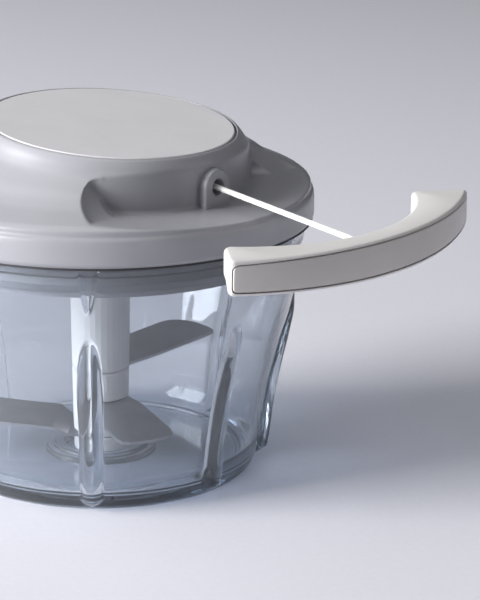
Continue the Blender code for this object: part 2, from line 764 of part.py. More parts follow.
def make_lid_shell():
    """Domed lid shell with its handle recess, cord outlet, screw bosses and disc seat."""
    seat = LID_TOP - DISC_SEAT
    profile = [(0.0, seat), (SEAT_R, seat)] + dome_points() + [(0.0, LID_FOOT)]
    shell = moved(turned("lid_shell", profile, GREY_ABS), tilted)
    cut(shell, make_pocket("pocket", 0.0))
    cut(shell, make_lid_space())
    arch = arch_outline(ARCH_R, LEDGE_Z - LID_TILT * POCKET_R - LID_WALL, OUTLET_Z)
    back = POCKET_R - LID_WALL / 2
    boss = plate("outlet_arch", arch, 0.0, ARCH_PROUD + LID_WALL / 2, None)
    boss.matrix_world = Matrix(((0, 0, 1, back), (1, 0, 0, 0), (0, 1, 0, 0), (0, 0, 0, 1)))
    cut(shell, boss, "UNION")
    hole = cylinder("outlet_hole", OUTLET_R, -OVERRUN * 2, OVERRUN * 2, None)
    hole.location = (POCKET_R, 0.0, OUTLET_Z)
    hole.rotation_euler.y = math.pi / 2
    cut(shell, hole)
    for heading in SCREW_AZIMUTHS:
        place = (SCREW_CIRCLE * math.cos(heading), SCREW_CIRCLE * math.sin(heading))
        foot = PLATE_TOP + CLEARANCE
        top = LID_FOOT + TILT_START_SHARE * (LID_TOP - LID_FOOT) + LID_WALL
        cut(shell, cylinder("screw_boss", SCREW_BOSS_R, foot, top, None, place=place), "UNION")
        depth = PLATE_LOW + SCREW_LENGTH + CLEARANCE
        bore = SCREW_R + CLEARANCE
        cut(shell, cylinder("screw_bore", bore, PLATE_LOW, depth, None, place=place))
    axle_top = LID_TOP - DISC_SEAT - LID_WALL / 2
    cut(shell, cylinder("axle_boss", AXLE_BOSS_R, AXLE_BOSS_LOW, axle_top, None), "UNION")
    hole_r = AXLE_R + CLEARANCE
    cut(shell, cylinder("axle_bore", hole_r, LID_FOOT, AXLE_TOP + CLEARANCE, None))
    for i in range(CLIP_COUNT):
        clip = clip_post("clip_hole", i, CLIP_R + CLEARANCE, DISC_SEAT + LID_WALL + OVERRUN)
        cut(shell, clip)


def disc_matrix():
    """Place of the lid disc: its top centre, tilted down towards the pull side."""
    centre = Vector((DISC_OFFSET, 0.0, LID_TOP))
    return Matrix.Translation(centre) @ Matrix.Rotation(math.atan(LID_TILT), 4, "Y")


def clip_post(name, index, radius, depth):
    """One snap post of the disc, or the hole that it goes through."""
    angle = 2 * math.pi * (index + 0.5) / CLIP_COUNT
    place = (CLIP_CIRCLE * math.cos(angle), CLIP_CIRCLE * math.sin(angle))
    post = cylinder(name, radius, -depth, -DISC_THICK / 2, None, 16, place)
    post.matrix_world = disc_matrix()
    return post


def make_disc():
    """Pale disc let into the top of the lid, with the snap posts that hold it."""
    points = [
        (0.0, 0.0),
        (DISC_R - DISC_EDGE, 0.0),
        (DISC_R, -DISC_EDGE),
        (DISC_R, -DISC_THICK),
        (0.0, -DISC_THICK),
    ]
    disc = turned("lid_disc", points, PALE_DISC)
    disc.matrix_world = disc_matrix()
    for i in range(CLIP_COUNT):
        cut(disc, clip_post("clip", i, CLIP_R, DISC_SEAT + LID_WALL + CLEARANCE), "UNION")


def make_lid_base():
    """Under-plate of the lid with the skirt that drops into the bowl, its seal and screws."""
    groove_top = PLATE_LOW - SEAL_DROP
    groove_low = groove_top - SEAL_HEIGHT - CLEARANCE * 2
    groove_r = SKIRT_R - SEAL_GROOVE
    points = [
        (HUB_R + HUB_GAP, PLATE_TOP),
        (BASE_PLATE_R, PLATE_TOP),
        (BASE_PLATE_R, PLATE_LOW),
        (SKIRT_R, PLATE_LOW),
        (SKIRT_R, groove_top),
        (groove_r, groove_top),
        (groove_r, groove_low),
        (SKIRT_R, groove_low),
        (SKIRT_R, PLATE_LOW - SKIRT_DEPTH),
        (SKIRT_R - SKIRT_WALL, PLATE_LOW - SKIRT_DEPTH),
        (SKIRT_R - SKIRT_WALL, PLATE_LOW),
        (HUB_R + HUB_GAP, PLATE_LOW),
    ]
    base = turned("lid_base", points, GREY_ABS, closed=True)
    seal_r = MOUTH_R - BOWL_WALL - CLEARANCE * 2
    seal = [
        (groove_r + CLEARANCE, groove_top - CLEARANCE),
        (seal_r - SEAL_GROOVE, groove_top - CLEARANCE),
        (seal_r, groove_top - SEAL_HEIGHT / 2),
        (seal_r - SEAL_GROOVE, groove_low + CLEARANCE),
        (groove_r + CLEARANCE, groove_low + CLEARANCE),
    ]
    turned("lid_seal", seal, SILICONE, closed=True)
    for number, heading in enumerate(SCREW_AZIMUTHS, 1):
        place = (SCREW_CIRCLE * math.cos(heading), SCREW_CIRCLE * math.sin(heading))
        bore = SCREW_R + CLEARANCE
        cut(base, cylinder("base_hole", bore, PLATE_LOW - OVERRUN, LID_TOP, None, place=place))
        low = PLATE_LOW - CLEARANCE - SCREW_HEAD_HEIGHT
        head = PLATE_LOW - CLEARANCE
        screw_profile = [
            (0.0, PLATE_LOW + SCREW_LENGTH),
            (SCREW_R, PLATE_LOW + SCREW_LENGTH - SCREW_R),
            (SCREW_R, head),
            (SCREW_HEAD_R, head),
            (SCREW_HEAD_R, low),
            (0.0, low),
        ]
        screw = turned(f"base_screw_{number}", screw_profile, PIN_STEEL, SMALL_STEPS // 2)
        screw.location = (place[0], place[1], 0.0)
        slot_half = DRIVE_SLOT_WIDTH / 2
        long_half = SCREW_HEAD_R + OVERRUN
        slot = [
            (-long_half, -slot_half),
            (long_half, -slot_half),
            (long_half, slot_half),
            (-long_half, slot_half),
        ]
        groove = plate("drive_slot", slot, low - OVERRUN, low + DRIVE_SLOT_DEPTH, None)
        groove.location = (place[0], place[1], 0.0)
        cut(screw, groove)


HUB_LOW = PLATE_LOW - HUB_DROP
FLANGE_LOW = PLATE_TOP + CLEARANCE
FLANGE_TOP = FLANGE_LOW + HUB_FLANGE_THICK
SPINDLE_CLEAR = SPINDLE_TOP + CLEARANCE
AXLE_HEAD_TOP = SPINDLE_CLEAR + AXLE_HEAD_HEIGHT
WASHER_LOW = AXLE_HEAD_TOP + CLEARANCE
SOCKET_TOP = WASHER_LOW + WASHER_THICK + CLEARANCE
CUP_LOW = FLANGE_LOW
REEL_LOW = CUP_LOW + CUP_WALL_HEIGHT + 4 * CLEARANCE
CHANNEL_LOW = REEL_LOW + REEL_FLANGE
CHANNEL_TOP = CHANNEL_LOW + REEL_CHANNEL
REEL_TOP = CHANNEL_TOP + REEL_FLANGE
AXLE_BOSS_LOW = REEL_TOP + CLEARANCE
AXLE_TOP = AXLE_BOSS_LOW + AXLE_GRIP
WINDING_R = BARREL_R + CLEARANCE + WINDING_THICK
CORD_REEL_R = WINDING_R + CLEARANCE + CORD_R


def make_drive():
    """Axle, washer, drive hub, spring cup, spring, reel and the cord wound on it."""
    bore = AXLE_R + CLEARANCE
    axle = [
        (0.0, AXLE_TOP),
        (AXLE_R, AXLE_TOP),
        (AXLE_R, AXLE_HEAD_TOP),
        (AXLE_HEAD_R, AXLE_HEAD_TOP),
        (AXLE_HEAD_R, SPINDLE_CLEAR),
        (0.0, SPINDLE_CLEAR),
    ]
    turned("reel_axle", axle, PIN_STEEL, SMALL_STEPS)
    washer = [
        (bore, WASHER_LOW + WASHER_THICK),
        (WASHER_R, WASHER_LOW + WASHER_THICK),
        (WASHER_R, WASHER_LOW),
        (bore, WASHER_LOW),
    ]
    turned("axle_washer", washer, PIN_STEEL, SMALL_STEPS, closed=True)
    arbor_top = REEL_LOW - CLEARANCE
    hub = [
        (bore, arbor_top),
        (ARBOR_R, arbor_top),
        (ARBOR_R, FLANGE_TOP),
        (HUB_FLANGE_R, FLANGE_TOP),
        (HUB_FLANGE_R, FLANGE_LOW),
        (HUB_R, FLANGE_LOW),
        (HUB_R, HUB_LOW),
        (bore, HUB_LOW),
    ]
    drive_hub = turned("drive_hub", hub, ACETAL, SMALL_STEPS, closed=True)
    socket_r = SPINDLE_R + SOCKET_PLAY
    low = HUB_LOW - OVERRUN
    cut(drive_hub, cylinder("socket", socket_r, low, SOCKET_TOP, None, SPINDLE_SIDES))
    cup_inner = HUB_FLANGE_R + CLEARANCE * 2
    cup = [
        (CUP_R, CUP_LOW + CUP_WALL_HEIGHT),
        (CUP_R, CUP_LOW),
        (cup_inner, CUP_LOW),
        (cup_inner, CUP_LOW + CUP_WALL),
        (CUP_R - CUP_WALL, CUP_LOW + CUP_WALL),
        (CUP_R - CUP_WALL, CUP_LOW + CUP_WALL_HEIGHT),
    ]
    turned("spring_cup", cup, GREY_ABS, SMALL_STEPS, closed=True)
    make_spring()
    reel = [
        (bore, REEL_TOP),
        (REEL_R, REEL_TOP),
        (REEL_R, CHANNEL_TOP),
        (BARREL_R, CHANNEL_TOP),
        (BARREL_R, CHANNEL_LOW),
        (REEL_R, CHANNEL_LOW),
        (REEL_R, REEL_LOW),
        (bore, REEL_LOW),
    ]
    turned("reel", reel, ACETAL, SMALL_STEPS, closed=True)
    winding = [
        (BARREL_R + CLEARANCE, CHANNEL_TOP - CLEARANCE),
        (WINDING_R, CHANNEL_TOP - CLEARANCE),
        (WINDING_R, CHANNEL_LOW + CLEARANCE),
        (BARREL_R + CLEARANCE, CHANNEL_LOW + CLEARANCE),
    ]
    turned("cord_winding", winding, CORD_NYLON, SMALL_STEPS, closed=True)


def make_spring():
    """Flat spiral recoil spring from the arbor out to the cup's wall."""
    half = SPRING_STRIP / 2
    inner = ARBOR_R + CLEARANCE + half
    outer = CUP_R - CUP_WALL - CLEARANCE - half
    count = SPRING_TURNS * SPRING_STEPS
    sides = ([], [])
    for i in range(count + 1):
        angle = 2 * math.pi * i / SPRING_STEPS
        radius = inner + (outer - inner) * i / count
        for side, offset in zip(sides, (-half, half)):
            reach = radius + offset
            side.append((reach * math.cos(angle), reach * math.sin(angle)))
    outline = sides[0] + sides[1][::-1]
    low = FLANGE_TOP + CLEARANCE
    plate("recoil_spring", outline, low, low + SPRING_HEIGHT, SPRING_STEEL)


def cord_height(x):
    """Height of the straight part of the cord at a distance from the bowl's axis."""
    return CORD_EXIT_Z + CORD_SLOPE * (x - CORD_EXIT_X)


def cord_route():
    """Middle line of the cord: off the reel, through the eyelet, straight to the handle."""
    wrap = math.acos(CORD_REEL_R / CORD_EXIT_X)
    start = Vector((math.cos(wrap), -math.sin(wrap), 0.0)) * CORD_REEL_R
    start.z = CORD_EXIT_Z
    bend = Vector((CORD_EXIT_X, 0.0, CORD_EXIT_Z))
    end_x = KNOT_X - KNOT_R - CLEARANCE
    end = Vector((end_x, 0.0, cord_height(end_x)))
    near = bend.lerp(start, CORD_BEND_SHARE)
    far = bend.lerp(end, CORD_BEND_SHARE)
    points = [start]
    for i in range(CORD_STEPS // 4):
        points.append(start.lerp(near, (i + 1) / (CORD_STEPS // 4)))
    for i in range(1, CORD_STEPS // 4):
        share = i / (CORD_STEPS // 4)
        points.append(near.lerp(bend, share).lerp(bend.lerp(far, share), share))
    for i in range(CORD_STEPS // 2 + 1):
        points.append(far.lerp(end, i / (CORD_STEPS // 2)))
    return points


HANDLE_BACK_X = HANDLE_FRONT_X - HANDLE_THICK
KNOT_X = HANDLE_BACK_X + KNOT_SEAT + CLEARANCE + KNOT_R
FRONT_CENTRE = HANDLE_FRONT_X - HANDLE_FRONT_R
BACK_CENTRE = HANDLE_BACK_X - HANDLE_BACK_R


def make_cord():
    """The pull cord, its eyelet behind the outlet and its knot in the handle."""
    route = cord_route()
    tube("cord", route, CORD_R, [1.0] * len(route), 2, CORD_NYLON)
    face = -LID_WALL - CLEARANCE
    eyelet = [
        (EYELET_BORE_R, face),
        (EYELET_R, face),
        (EYELET_R, face - EYELET_THICK),
        (EYELET_LIP_R, face - EYELET_THICK),
        (EYELET_LIP_R, face - EYELET_THICK - EYELET_LIP),
        (EYELET_BORE_R, face - EYELET_THICK - EYELET_LIP),
    ]
    ring = turned("cord_eyelet", eyelet, ACETAL, SMALL_STEPS, closed=True)
    ring.location = (POCKET_R, 0.0, cord_height(POCKET_R - LID_WALL - EYELET_THICK))
    ring.rotation_euler.y = math.pi / 2
    shape = bmesh.new()
    bmesh.ops.create_uvsphere(shape, u_segments=16, v_segments=10, radius=KNOT_R)
    mesh = bpy.data.meshes.new("cord_knot")
    shape.to_mesh(mesh)
    shape.free()
    mesh.shade_smooth()
    knot = add_object("cord_knot", mesh, CORD_NYLON)
    knot.location = (KNOT_X, 0.0, cord_height(KNOT_X))


def risen(place, middle):
    """Raise the underside of the handle towards its ends and its back."""
    if place.z > middle:
        return place
    share = min(abs(place.y) / HANDLE_HALF, 1.0)
    rise = HANDLE_END_RISE * share * share
    if math.hypot(place.x - FRONT_CENTRE, place.y) < HANDLE_FRONT_R - HANDLE_THICK / 2:
        rise += HANDLE_BACK_RISE
    return Vector((place.x, place.y, place.z + rise))


def make_handle():
    """Curved pull handle with the panel let into its front and the seat of the cord's knot."""
    low = HANDLE_TOP - HANDLE_HEIGHT
    back = arc(BACK_CENTRE, HANDLE_BACK_R, HANDLE_BACK_HALF, HANDLE_STEPS, front=False)
    front = arc(FRONT_CENTRE, HANDLE_FRONT_R, HANDLE_HALF, HANDLE_STEPS)
    body = plate("handle_body", front + back, low, HANDLE_TOP, HANDLE_ABS)
    moved(body, lambda place: risen(place, low + HANDLE_HEIGHT / 2))
    rounded(body, HANDLE_EDGE)

    def panel(name, grow, proud, material):
        deep = HANDLE_FRONT_R - INSERT_DEPTH - grow
        half = HANDLE_HALF - INSERT_END_MARGIN + grow
        outer = arc(FRONT_CENTRE, HANDLE_FRONT_R + proud, half, HANDLE_STEPS)
        inner = arc(FRONT_CENTRE, deep, half, HANDLE_STEPS, front=False)
        foot = low + INSERT_LOW_MARGIN - grow
        top = HANDLE_TOP - INSERT_TOP_MARGIN + grow
        item = plate(name, outer + inner, foot, top, material)
        return moved(item, lambda place: risen(place, (foot + top) / 2))

    cut(body, panel("panel_seat", CLEARANCE, OVERRUN, None))
    rounded(panel("handle_insert", 0.0, 0.0, INSERT_TPE), INSERT_EDGE, segments=1)
    slope = math.atan(-CORD_SLOPE)
    for name, radius, start in (
        ("cord_bore", KNOT_BORE_R, -OVERRUN * 2),
        ("knot_seat", KNOT_R + CLEARANCE, -KNOT_R - CLEARANCE),
    ):
        bore = cylinder(name, radius, start, OVERRUN, None, 16)
        bore.location = (KNOT_X, 0.0, cord_height(KNOT_X))
        bore.rotation_euler.y = math.pi / 2 + slope
        cut(body, bore)


def make_model():
    """Build every piece."""
    make_bowl()
    make_pin()
    make_tower()
    make_lid_shell()
    make_disc()
    make_lid_base()
    make_drive()
    make_cord()
    make_handle()


make_model()
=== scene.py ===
"""Looks of a pull-cord food chopper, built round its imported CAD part.

A clear ribbed bowl, a tower with three blades on a steel pin, a domed lid with a recess for
the handle, and a curved handle on a taut cord. Metres, +Z up, +X is the direction of the pull.
"""

import json
import logging
import math
from dataclasses import dataclass
from enum import Enum
from typing import Any, Callable, Optional, Sequence

import bmesh
import bpy
import numpy as np
from bpy.types import Material, Mesh, Node, NodeSocket, NodeTree, Object
from mathutils import Matrix, Vector

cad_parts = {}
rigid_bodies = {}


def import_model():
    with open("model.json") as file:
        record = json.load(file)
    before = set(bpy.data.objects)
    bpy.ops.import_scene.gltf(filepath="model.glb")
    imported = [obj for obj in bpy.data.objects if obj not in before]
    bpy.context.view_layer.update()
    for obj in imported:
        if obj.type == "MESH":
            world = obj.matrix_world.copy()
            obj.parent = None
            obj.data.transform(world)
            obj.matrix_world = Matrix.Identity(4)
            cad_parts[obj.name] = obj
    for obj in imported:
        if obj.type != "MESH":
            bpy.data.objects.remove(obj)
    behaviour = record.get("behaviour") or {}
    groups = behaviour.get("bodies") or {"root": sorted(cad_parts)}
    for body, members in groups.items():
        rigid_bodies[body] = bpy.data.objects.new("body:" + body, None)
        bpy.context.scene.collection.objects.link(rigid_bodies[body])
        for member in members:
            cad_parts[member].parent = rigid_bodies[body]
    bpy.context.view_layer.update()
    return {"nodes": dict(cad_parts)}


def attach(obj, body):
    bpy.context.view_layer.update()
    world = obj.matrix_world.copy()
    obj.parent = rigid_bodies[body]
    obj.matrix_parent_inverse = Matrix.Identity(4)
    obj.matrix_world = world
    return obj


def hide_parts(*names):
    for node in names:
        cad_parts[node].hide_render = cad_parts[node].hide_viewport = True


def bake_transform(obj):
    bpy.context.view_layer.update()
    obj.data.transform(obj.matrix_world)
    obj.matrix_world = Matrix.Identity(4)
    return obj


Array = np.ndarray
Pair = tuple[float, float]
Triple = tuple[float, float, float]

LOG = logging.getLogger("chopper")
MM = 0.001
SHARP_ANGLE = math.radians(50.0)
# the values between which a noise mostly stays
NOISE_LOW, NOISE_HIGH = 0.3, 0.7
# how much of a side a round may take, on an open profile and on a closed outline
OPEN_SHARE, CLOSED_SHARE = 0.45, 0.49


class Body(Enum):
    """The bodies that the pieces made here ride on."""

    BOWL = "bowl"
    LID = "lid"
    HANDLE = "handle"


# ---- Colour and nodes


def linear(hex_colour: str) -> tuple[float, float, float, float]:
    """The linear colour, with an alpha of one, of six sRGB hex digits such as "c8c8c6"."""
    parts = [int(hex_colour[i : i + 2], 16) / 255 for i in (0, 2, 4)]
    return (*(p / 12.92 if p <= 0.04045 else ((p + 0.055) / 1.055) ** 2.4 for p in parts), 1.0)


def add_node(
    tree: NodeTree,
    kind: str,
    settings: Optional[dict[Any, Any]] = None,
    links: Optional[dict[Any, NodeSocket]] = None,
) -> Node:
    """Add a node with its settings and links.

    Args:
        tree: the material's or world's node tree.
        kind: Blender's name for the shader node's type, without its prefix.
        settings: values by input name, input number or property name.
        links: output sockets by the input name or number that they feed.

    Returns:
        The new node.
    """
    node = tree.nodes.new("ShaderNode" + kind)
    for key, value in (settings or {}).items():
        if isinstance(key, int) or key in node.inputs:
            node.inputs[key].default_value = value
        else:
            setattr(node, key, value)
    for key, source in (links or {}).items():
        tree.links.new(source, node.inputs[key])
    return node


def new_material(name: str) -> tuple[Material, NodeTree]:
    """Make an empty material.

    Args:
        name: the finish's own name.

    Returns:
        The material and its node tree.
    """
    material = bpy.data.materials.new(name)
    material.use_nodes = True
    material.node_tree.nodes.clear()
    return material, material.node_tree


def grain(
    tree: NodeTree, size: float, detail: float, ends: Optional[Pair] = None
) -> NodeSocket:
    """Noise whose blotches have a real size on the object.

    Args:
        tree: the material's node tree.
        size: the size of one blotch in metres.
        detail: how many finer layers the noise has.
        ends: what to stretch the noise over, because it stays near its middle.

    Returns:
        The noise's value.
    """
    place = add_node(tree, "TexCoord").outputs["Object"]
    settings = {"Scale": 1.0 / size, "Detail": detail, "Roughness": 0.5}
    noise = add_node(tree, "TexNoise", settings, {"Vector": place}).outputs["Fac"]
    if ends is None:
        return noise
    known = {"From Min": NOISE_LOW, "From Max": NOISE_HIGH}
    settings = {**known, "To Min": ends[0], "To Max": ends[1]}
    return add_node(tree, "MapRange", settings, {"Value": noise}).outputs["Result"]


def mottled(tree: NodeTree, shade: str, shares: Pair, size: float, detail: float) -> NodeSocket:
    """A colour that drifts between a darker and a paler tone of itself.

    Args:
        tree: the material's node tree.
        shade: the sRGB hex colour.
        shares: the dark and the pale tone, as shares of the colour.
        size: the size of one blotch in metres.
        detail: how many finer layers the blotches have.

    Returns:
        The colour.
    """
    dark, pale = ([c * share for c in linear(shade)[:3]] + [1.0] for share in shares)
    clouds = grain(tree, size, detail, (0.0, 1.0))
    mix = add_node(tree, "Mix", {"data_type": "RGBA", 6: dark, 7: pale}, {0: clouds})
    return mix.outputs[2]


# ---- Finishes


@dataclass(frozen=True)
class OpaqueFinish:
    """A colour with slight clouds, a roughness with slight wear, and a fine relief.

    Each kind has its own sizes of these, and adds what only its material does.
    """

    name: str
    shade: str
    roughness: float
    tones: Pair = (0.975, 1.025)
    cloud: float = 18.0 * MM
    cloud_detail: float = 2.0
    wear: float = 3.0 * MM
    wear_detail: float = 2.0
    wear_share: float = 0.03
    # a mould's texture, scuffs and yarn are finer: they are drawn this coarse so that they show
    relief: float = 0.7 * MM
    relief_detail: float = 1.0
    relief_ends: Optional[Pair] = None
    relief_depth: float = 0.004 * MM
    relief_show: float = 0.6

    def settings(self) -> dict[str, float]:
        """The shader's values that only this kind sets."""
        return {}

    def build(self) -> Material:
        """Make the material.

        Returns:
            The new material.
        """
        material, tree = new_material(self.name)
        colour = mottled(tree, self.shade, self.tones, self.cloud, self.cloud_detail)
        settings, links = {"Roughness": self.roughness}, {"Base Color": colour}
        if self.wear_share > 0:
            ends = (self.roughness - self.wear_share, self.roughness + self.wear_share)
            links["Roughness"] = grain(tree, self.wear, self.wear_detail, ends)
        if self.relief_show > 0:
            height = grain(tree, self.relief, self.relief_detail, self.relief_ends)
            depth = {"Strength": self.relief_show, "Distance": self.relief_depth}
            links["Normal"] = add_node(tree, "Bump", depth, {"Height": height}).outputs["Normal"]
        settings.update(self.settings())
        shader = add_node(tree, "BsdfPrincipled", settings, links)
        add_node(tree, "OutputMaterial", {}, {"Surface": shader.outputs["BSDF"]})
        return material


@dataclass(frozen=True)
class MouldedPlastic(OpaqueFinish):
    """Injection-moulded plastic with the fine spark texture that its mould leaves.

    The texture breaks a highlight into a satin sheen, and the flow of the melt leaves
    very slight clouds in the colour.
    """

    ior: float = 1.52
    coat: float = 0.0
    coat_roughness: float = 0.3

    def settings(self) -> dict[str, float]:
        """The refraction, and the gloss that lies over the texture."""
        coat = {"Coat Weight": self.coat, "Coat Roughness": self.coat_roughness}
        return {"IOR": self.ior, **coat}


@dataclass(frozen=True)
class SheetSteel(OpaqueFinish):
    """Stainless strip, blanked and tumbled, which leaves a dull grey with fine scuffs."""

    tones: Pair = (0.9, 1.06)
    cloud: float = 9.0 * MM
    cloud_detail: float = 3.0
    wear: float = 1.2 * MM
    wear_detail: float = 3.0
    wear_share: float = 0.06
    relief: float = 1.2 * MM
    relief_detail: float = 3.0
    relief_show: float = 0.4

    def settings(self) -> dict[str, float]:
        """Bare metal."""
        return {"Metallic": 1.0}


@dataclass(frozen=True)
class BraidedNylon(OpaqueFinish):
    """White nylon yarn, braided; the fuzz of its filaments scatters light like cloth."""

    tones: Pair = (0.86, 1.0)
    cloud: float = 0.25 * MM
    wear_share: float = 0.0
    relief: float = 0.25 * MM
    relief_detail: float = 2.0
    relief_ends: Optional[Pair] = (0.0, 1.0)
    relief_depth: float = 0.03 * MM
    relief_show: float = 0.5
    sheen: float = 0.3
    sheen_roughness: float = 0.4

    def settings(self) -> dict[str, float]:
        """The sheen of the fuzz."""
        return {"Sheen Weight": self.sheen, "Sheen Roughness": self.sheen_roughness}


@dataclass(frozen=True)
class Paper(OpaqueFinish):
    """Pale matt paper, with a faint drift of colour and no relief that shows."""

    tones: Pair = (0.97, 1.0)
    cloud: float = 2.0 * MM
    cloud_detail: float = 4.0
    wear_share: float = 0.0
    relief_show: float = 0.0
    ior: float = 1.35

    def settings(self) -> dict[str, float]:
        """A low refraction, which keeps it dull."""
        return {"IOR": self.ior}


@dataclass(frozen=True)
class ClearPlastic:
    """Clear styrene-acrylonitrile, moulded with a faint smoke-blue tint.

    It refracts a little more than acrylic. The tint shows where the eye looks along a wall,
    so most of it is an absorption in the depth of the plastic, with a little at its surface.
    A slight haze keeps the thick parts from going black, and the flow of the melt leaves
    shallow waves that bend what is seen through it.
    """

    name: str
    tint: str
    depth_tint: str
    density: float
    shadow_tint: str
    roughness: float = 0.015
    wave: float = 16.0 * MM
    wave_depth: float = 0.03 * MM
    wave_show: float = 0.5
    ior: float = 1.57
    haze: float = 0.045

    def build(self) -> Material:
        """Make the material, which lets the lamps' rays through to what it holds.

        Returns:
            The new material.
        """
        material, tree = new_material(self.name)
        depth = {"Strength": self.wave_show, "Distance": self.wave_depth}
        waves = add_node(tree, "Bump", depth, {"Height": grain(tree, self.wave, 0.0)})
        settings = {
            "Base Color": linear(self.tint),
            "Roughness": self.roughness,
            "IOR": self.ior,
            "Transmission Weight": 1.0 - self.haze,
        }
        bent = {"Normal": waves.outputs["Normal"]}
        glass = add_node(tree, "BsdfPrincipled", settings, bent).outputs["BSDF"]
        open_air = add_node(tree, "BsdfTransparent", {"Color": linear(self.shadow_tint)})
        shadow = add_node(tree, "LightPath").outputs["Is Shadow Ray"]
        links = {0: shadow, 1: glass, 2: open_air.outputs["BSDF"]}
        surface = add_node(tree, "MixShader", {}, links).outputs["Shader"]
        settings = {"Color": linear(self.depth_tint), "Density": self.density}
        volume = add_node(tree, "VolumeAbsorption", settings).outputs["Volume"]
        add_node(tree, "OutputMaterial", {}, {"Surface": surface, "Volume": volume})
        return material


@dataclass(frozen=True)
class Finishes:
    """Every finish of the chopper, by the record's material slot."""

    made: dict[str, Material]

    @staticmethod
    def build() -> "Finishes":
        """Make the materials.

        Returns:
            The finishes, ready to put on pieces and CAD nodes.
        """
        kinds = [
            ClearPlastic("clear_san", "e5e9ee", "a9b8c4", 34.0, "d3d6db"),
            MouldedPlastic("grey_abs", "99999f", 0.34, coat=0.15),
            MouldedPlastic("pale_disc", "cfced1", 0.42),
            MouldedPlastic("tower_abs", "d2cfcd", 0.38),
            MouldedPlastic("handle_abs", "dcd9d8", 0.36),
            MouldedPlastic("insert_tpe", "cfcbc8", 0.36, relief=0.5 * MM, coat=0.25),
            SheetSteel("blade_steel", "9f9ea1", 0.42),
            SheetSteel("pin_steel", "c9c9ca", 0.22),
            SheetSteel("spring_steel", "9aa0ab", 0.3),
            MouldedPlastic("silicone", "8d8e94", 0.6),
            # painted shadow: a near-black finish for the lip that draws the shaded gap under the
            # lid's rim
            MouldedPlastic("painted_gap_shadow", "2e2f33", 0.6),
            MouldedPlastic("acetal", "e6e5e1", 0.33),
            BraidedNylon("cord_nylon", "fbfaf8", 0.75),
        ]
        return Finishes({kind.name: kind.build() for kind in kinds})

    def dress_nodes(self, nodes: dict[str, Object]) -> None:
        """Put on each CAD node the finish of its slot, which its packed material names.

        Args:
            nodes: the CAD nodes by name.
        """
        for node in nodes.values():
            slot = node.data.materials[0].name.split(".")[0]
            node.data.materials.clear()
            node.data.materials.append(self.made[slot])


# ---- Mesh helpers


def smooth_max(a: Array, b: Array, width: float) -> Array:
    """The larger of two values, with a rounded step of a width between them."""
    share = np.clip(0.5 + 0.5 * (a - b) / width, 0.0, 1.0)
    return b * (1 - share) + a * share + width * share * (1 - share)


def smooth_min(a: Array, b: Array, width: float) -> Array:
    """The smaller of two values, with a rounded step between them."""
    return -smooth_max(-a, -b, width)


def curve_through(known: Sequence[Pair], at: Array) -> Array:
    """A smooth curve through known points.

    Args:
        known: (place, value) pairs in order of place.
        at: the places wanted.

    Returns:
        The values there.
    """
    x = np.array([k[0] for k in known])
    y = np.array([k[1] for k in known])
    slope = np.gradient(y, x)
    i = np.clip(np.searchsorted(x, at) - 1, 0, len(x) - 2)
    run = x[i + 1] - x[i]
    t = np.clip((at - x[i]) / run, 0.0, 1.0)
    a = (2 * t**3 - 3 * t**2 + 1) * y[i] + (t**3 - 2 * t**2 + t) * run * slope[i]
    b = (-2 * t**3 + 3 * t**2) * y[i + 1] + (t**3 - t**2) * run * slope[i + 1]
    return a + b


def rounded(
    back: Array, here: Array, on: Array, reach: Sequence[float], steps: int
) -> list[Array]:
    """Points of the round that replaces one corner.

    Args:
        back: the corner before.
        here: the corner.
        on: the corner after.
        reach: how far the round goes along the side before and along the side after.
        steps: how many pieces it has.

    Returns:
        The points, from the side before to the side after.
    """
    ends = [
        here + (other - here) / np.linalg.norm(other - here) * far
        for other, far in zip((back, on), reach)
    ]
    turns = np.linspace(0.0, 1.0, steps + 1)
    return [(1 - t) ** 2 * ends[0] + 2 * t * (1 - t) * here + t**2 * ends[1] for t in turns]


def eased(points: Sequence[Sequence[float]], radius: float, steps: int = 4) -> Array:
    """Round the corners of an open profile.

    Args:
        points: the corners.
        radius: about the radius of each round.
        steps: how many pieces a round has.

    Returns:
        The profile with its rounds.
    """
    line = [np.array(p, float) for p in points]
    out = [line[0]]
    for back, here, on in zip(line, line[1:], line[2:]):
        shorter = min(np.linalg.norm(back - here), np.linalg.norm(on - here))
        out += rounded(back, here, on, [min(radius, OPEN_SHARE * shorter)] * 2, steps)
    return np.array(out + [line[-1]])


def divided(points: Array, spacing: float) -> Array:
    """Add points to a profile wherever two are further apart than a spacing.

    Args:
        points: the profile.
        spacing: the furthest that two points may be apart.

    Returns:
        The finer profile.
    """
    out = [points[0]]
    for a, b in zip(points, points[1:]):
        count = max(1, math.ceil(np.linalg.norm(b - a) / spacing))
        out += [a + (b - a) * k / count for k in range(1, count + 1)]
    return np.array(out)


def add_object(name: str, data: Any) -> Object:
    """Put a mesh, a lamp or a camera in the scene.

    Args:
        name: the object's name.
        data: what it shows.

    Returns:
        The new object.
    """
    item = bpy.data.objects.new(name, data)
    bpy.context.scene.collection.objects.link(item)
    return item


def add_piece(name: str, mesh: Mesh, material: Material) -> Object:
    """Put a mesh with its finish in the scene."""
    mesh.materials.append(material)
    return add_object(name, mesh)


def facing(place: Triple, look: Vector, roll: float = 0.0) -> Matrix:
    """The place of a lamp or a camera that looks along a direction."""
    turn = look.to_track_quat("-Z", "Y").to_matrix().to_4x4()
    return Matrix.Translation(place) @ turn @ Matrix.Rotation(roll, 4, "Z")


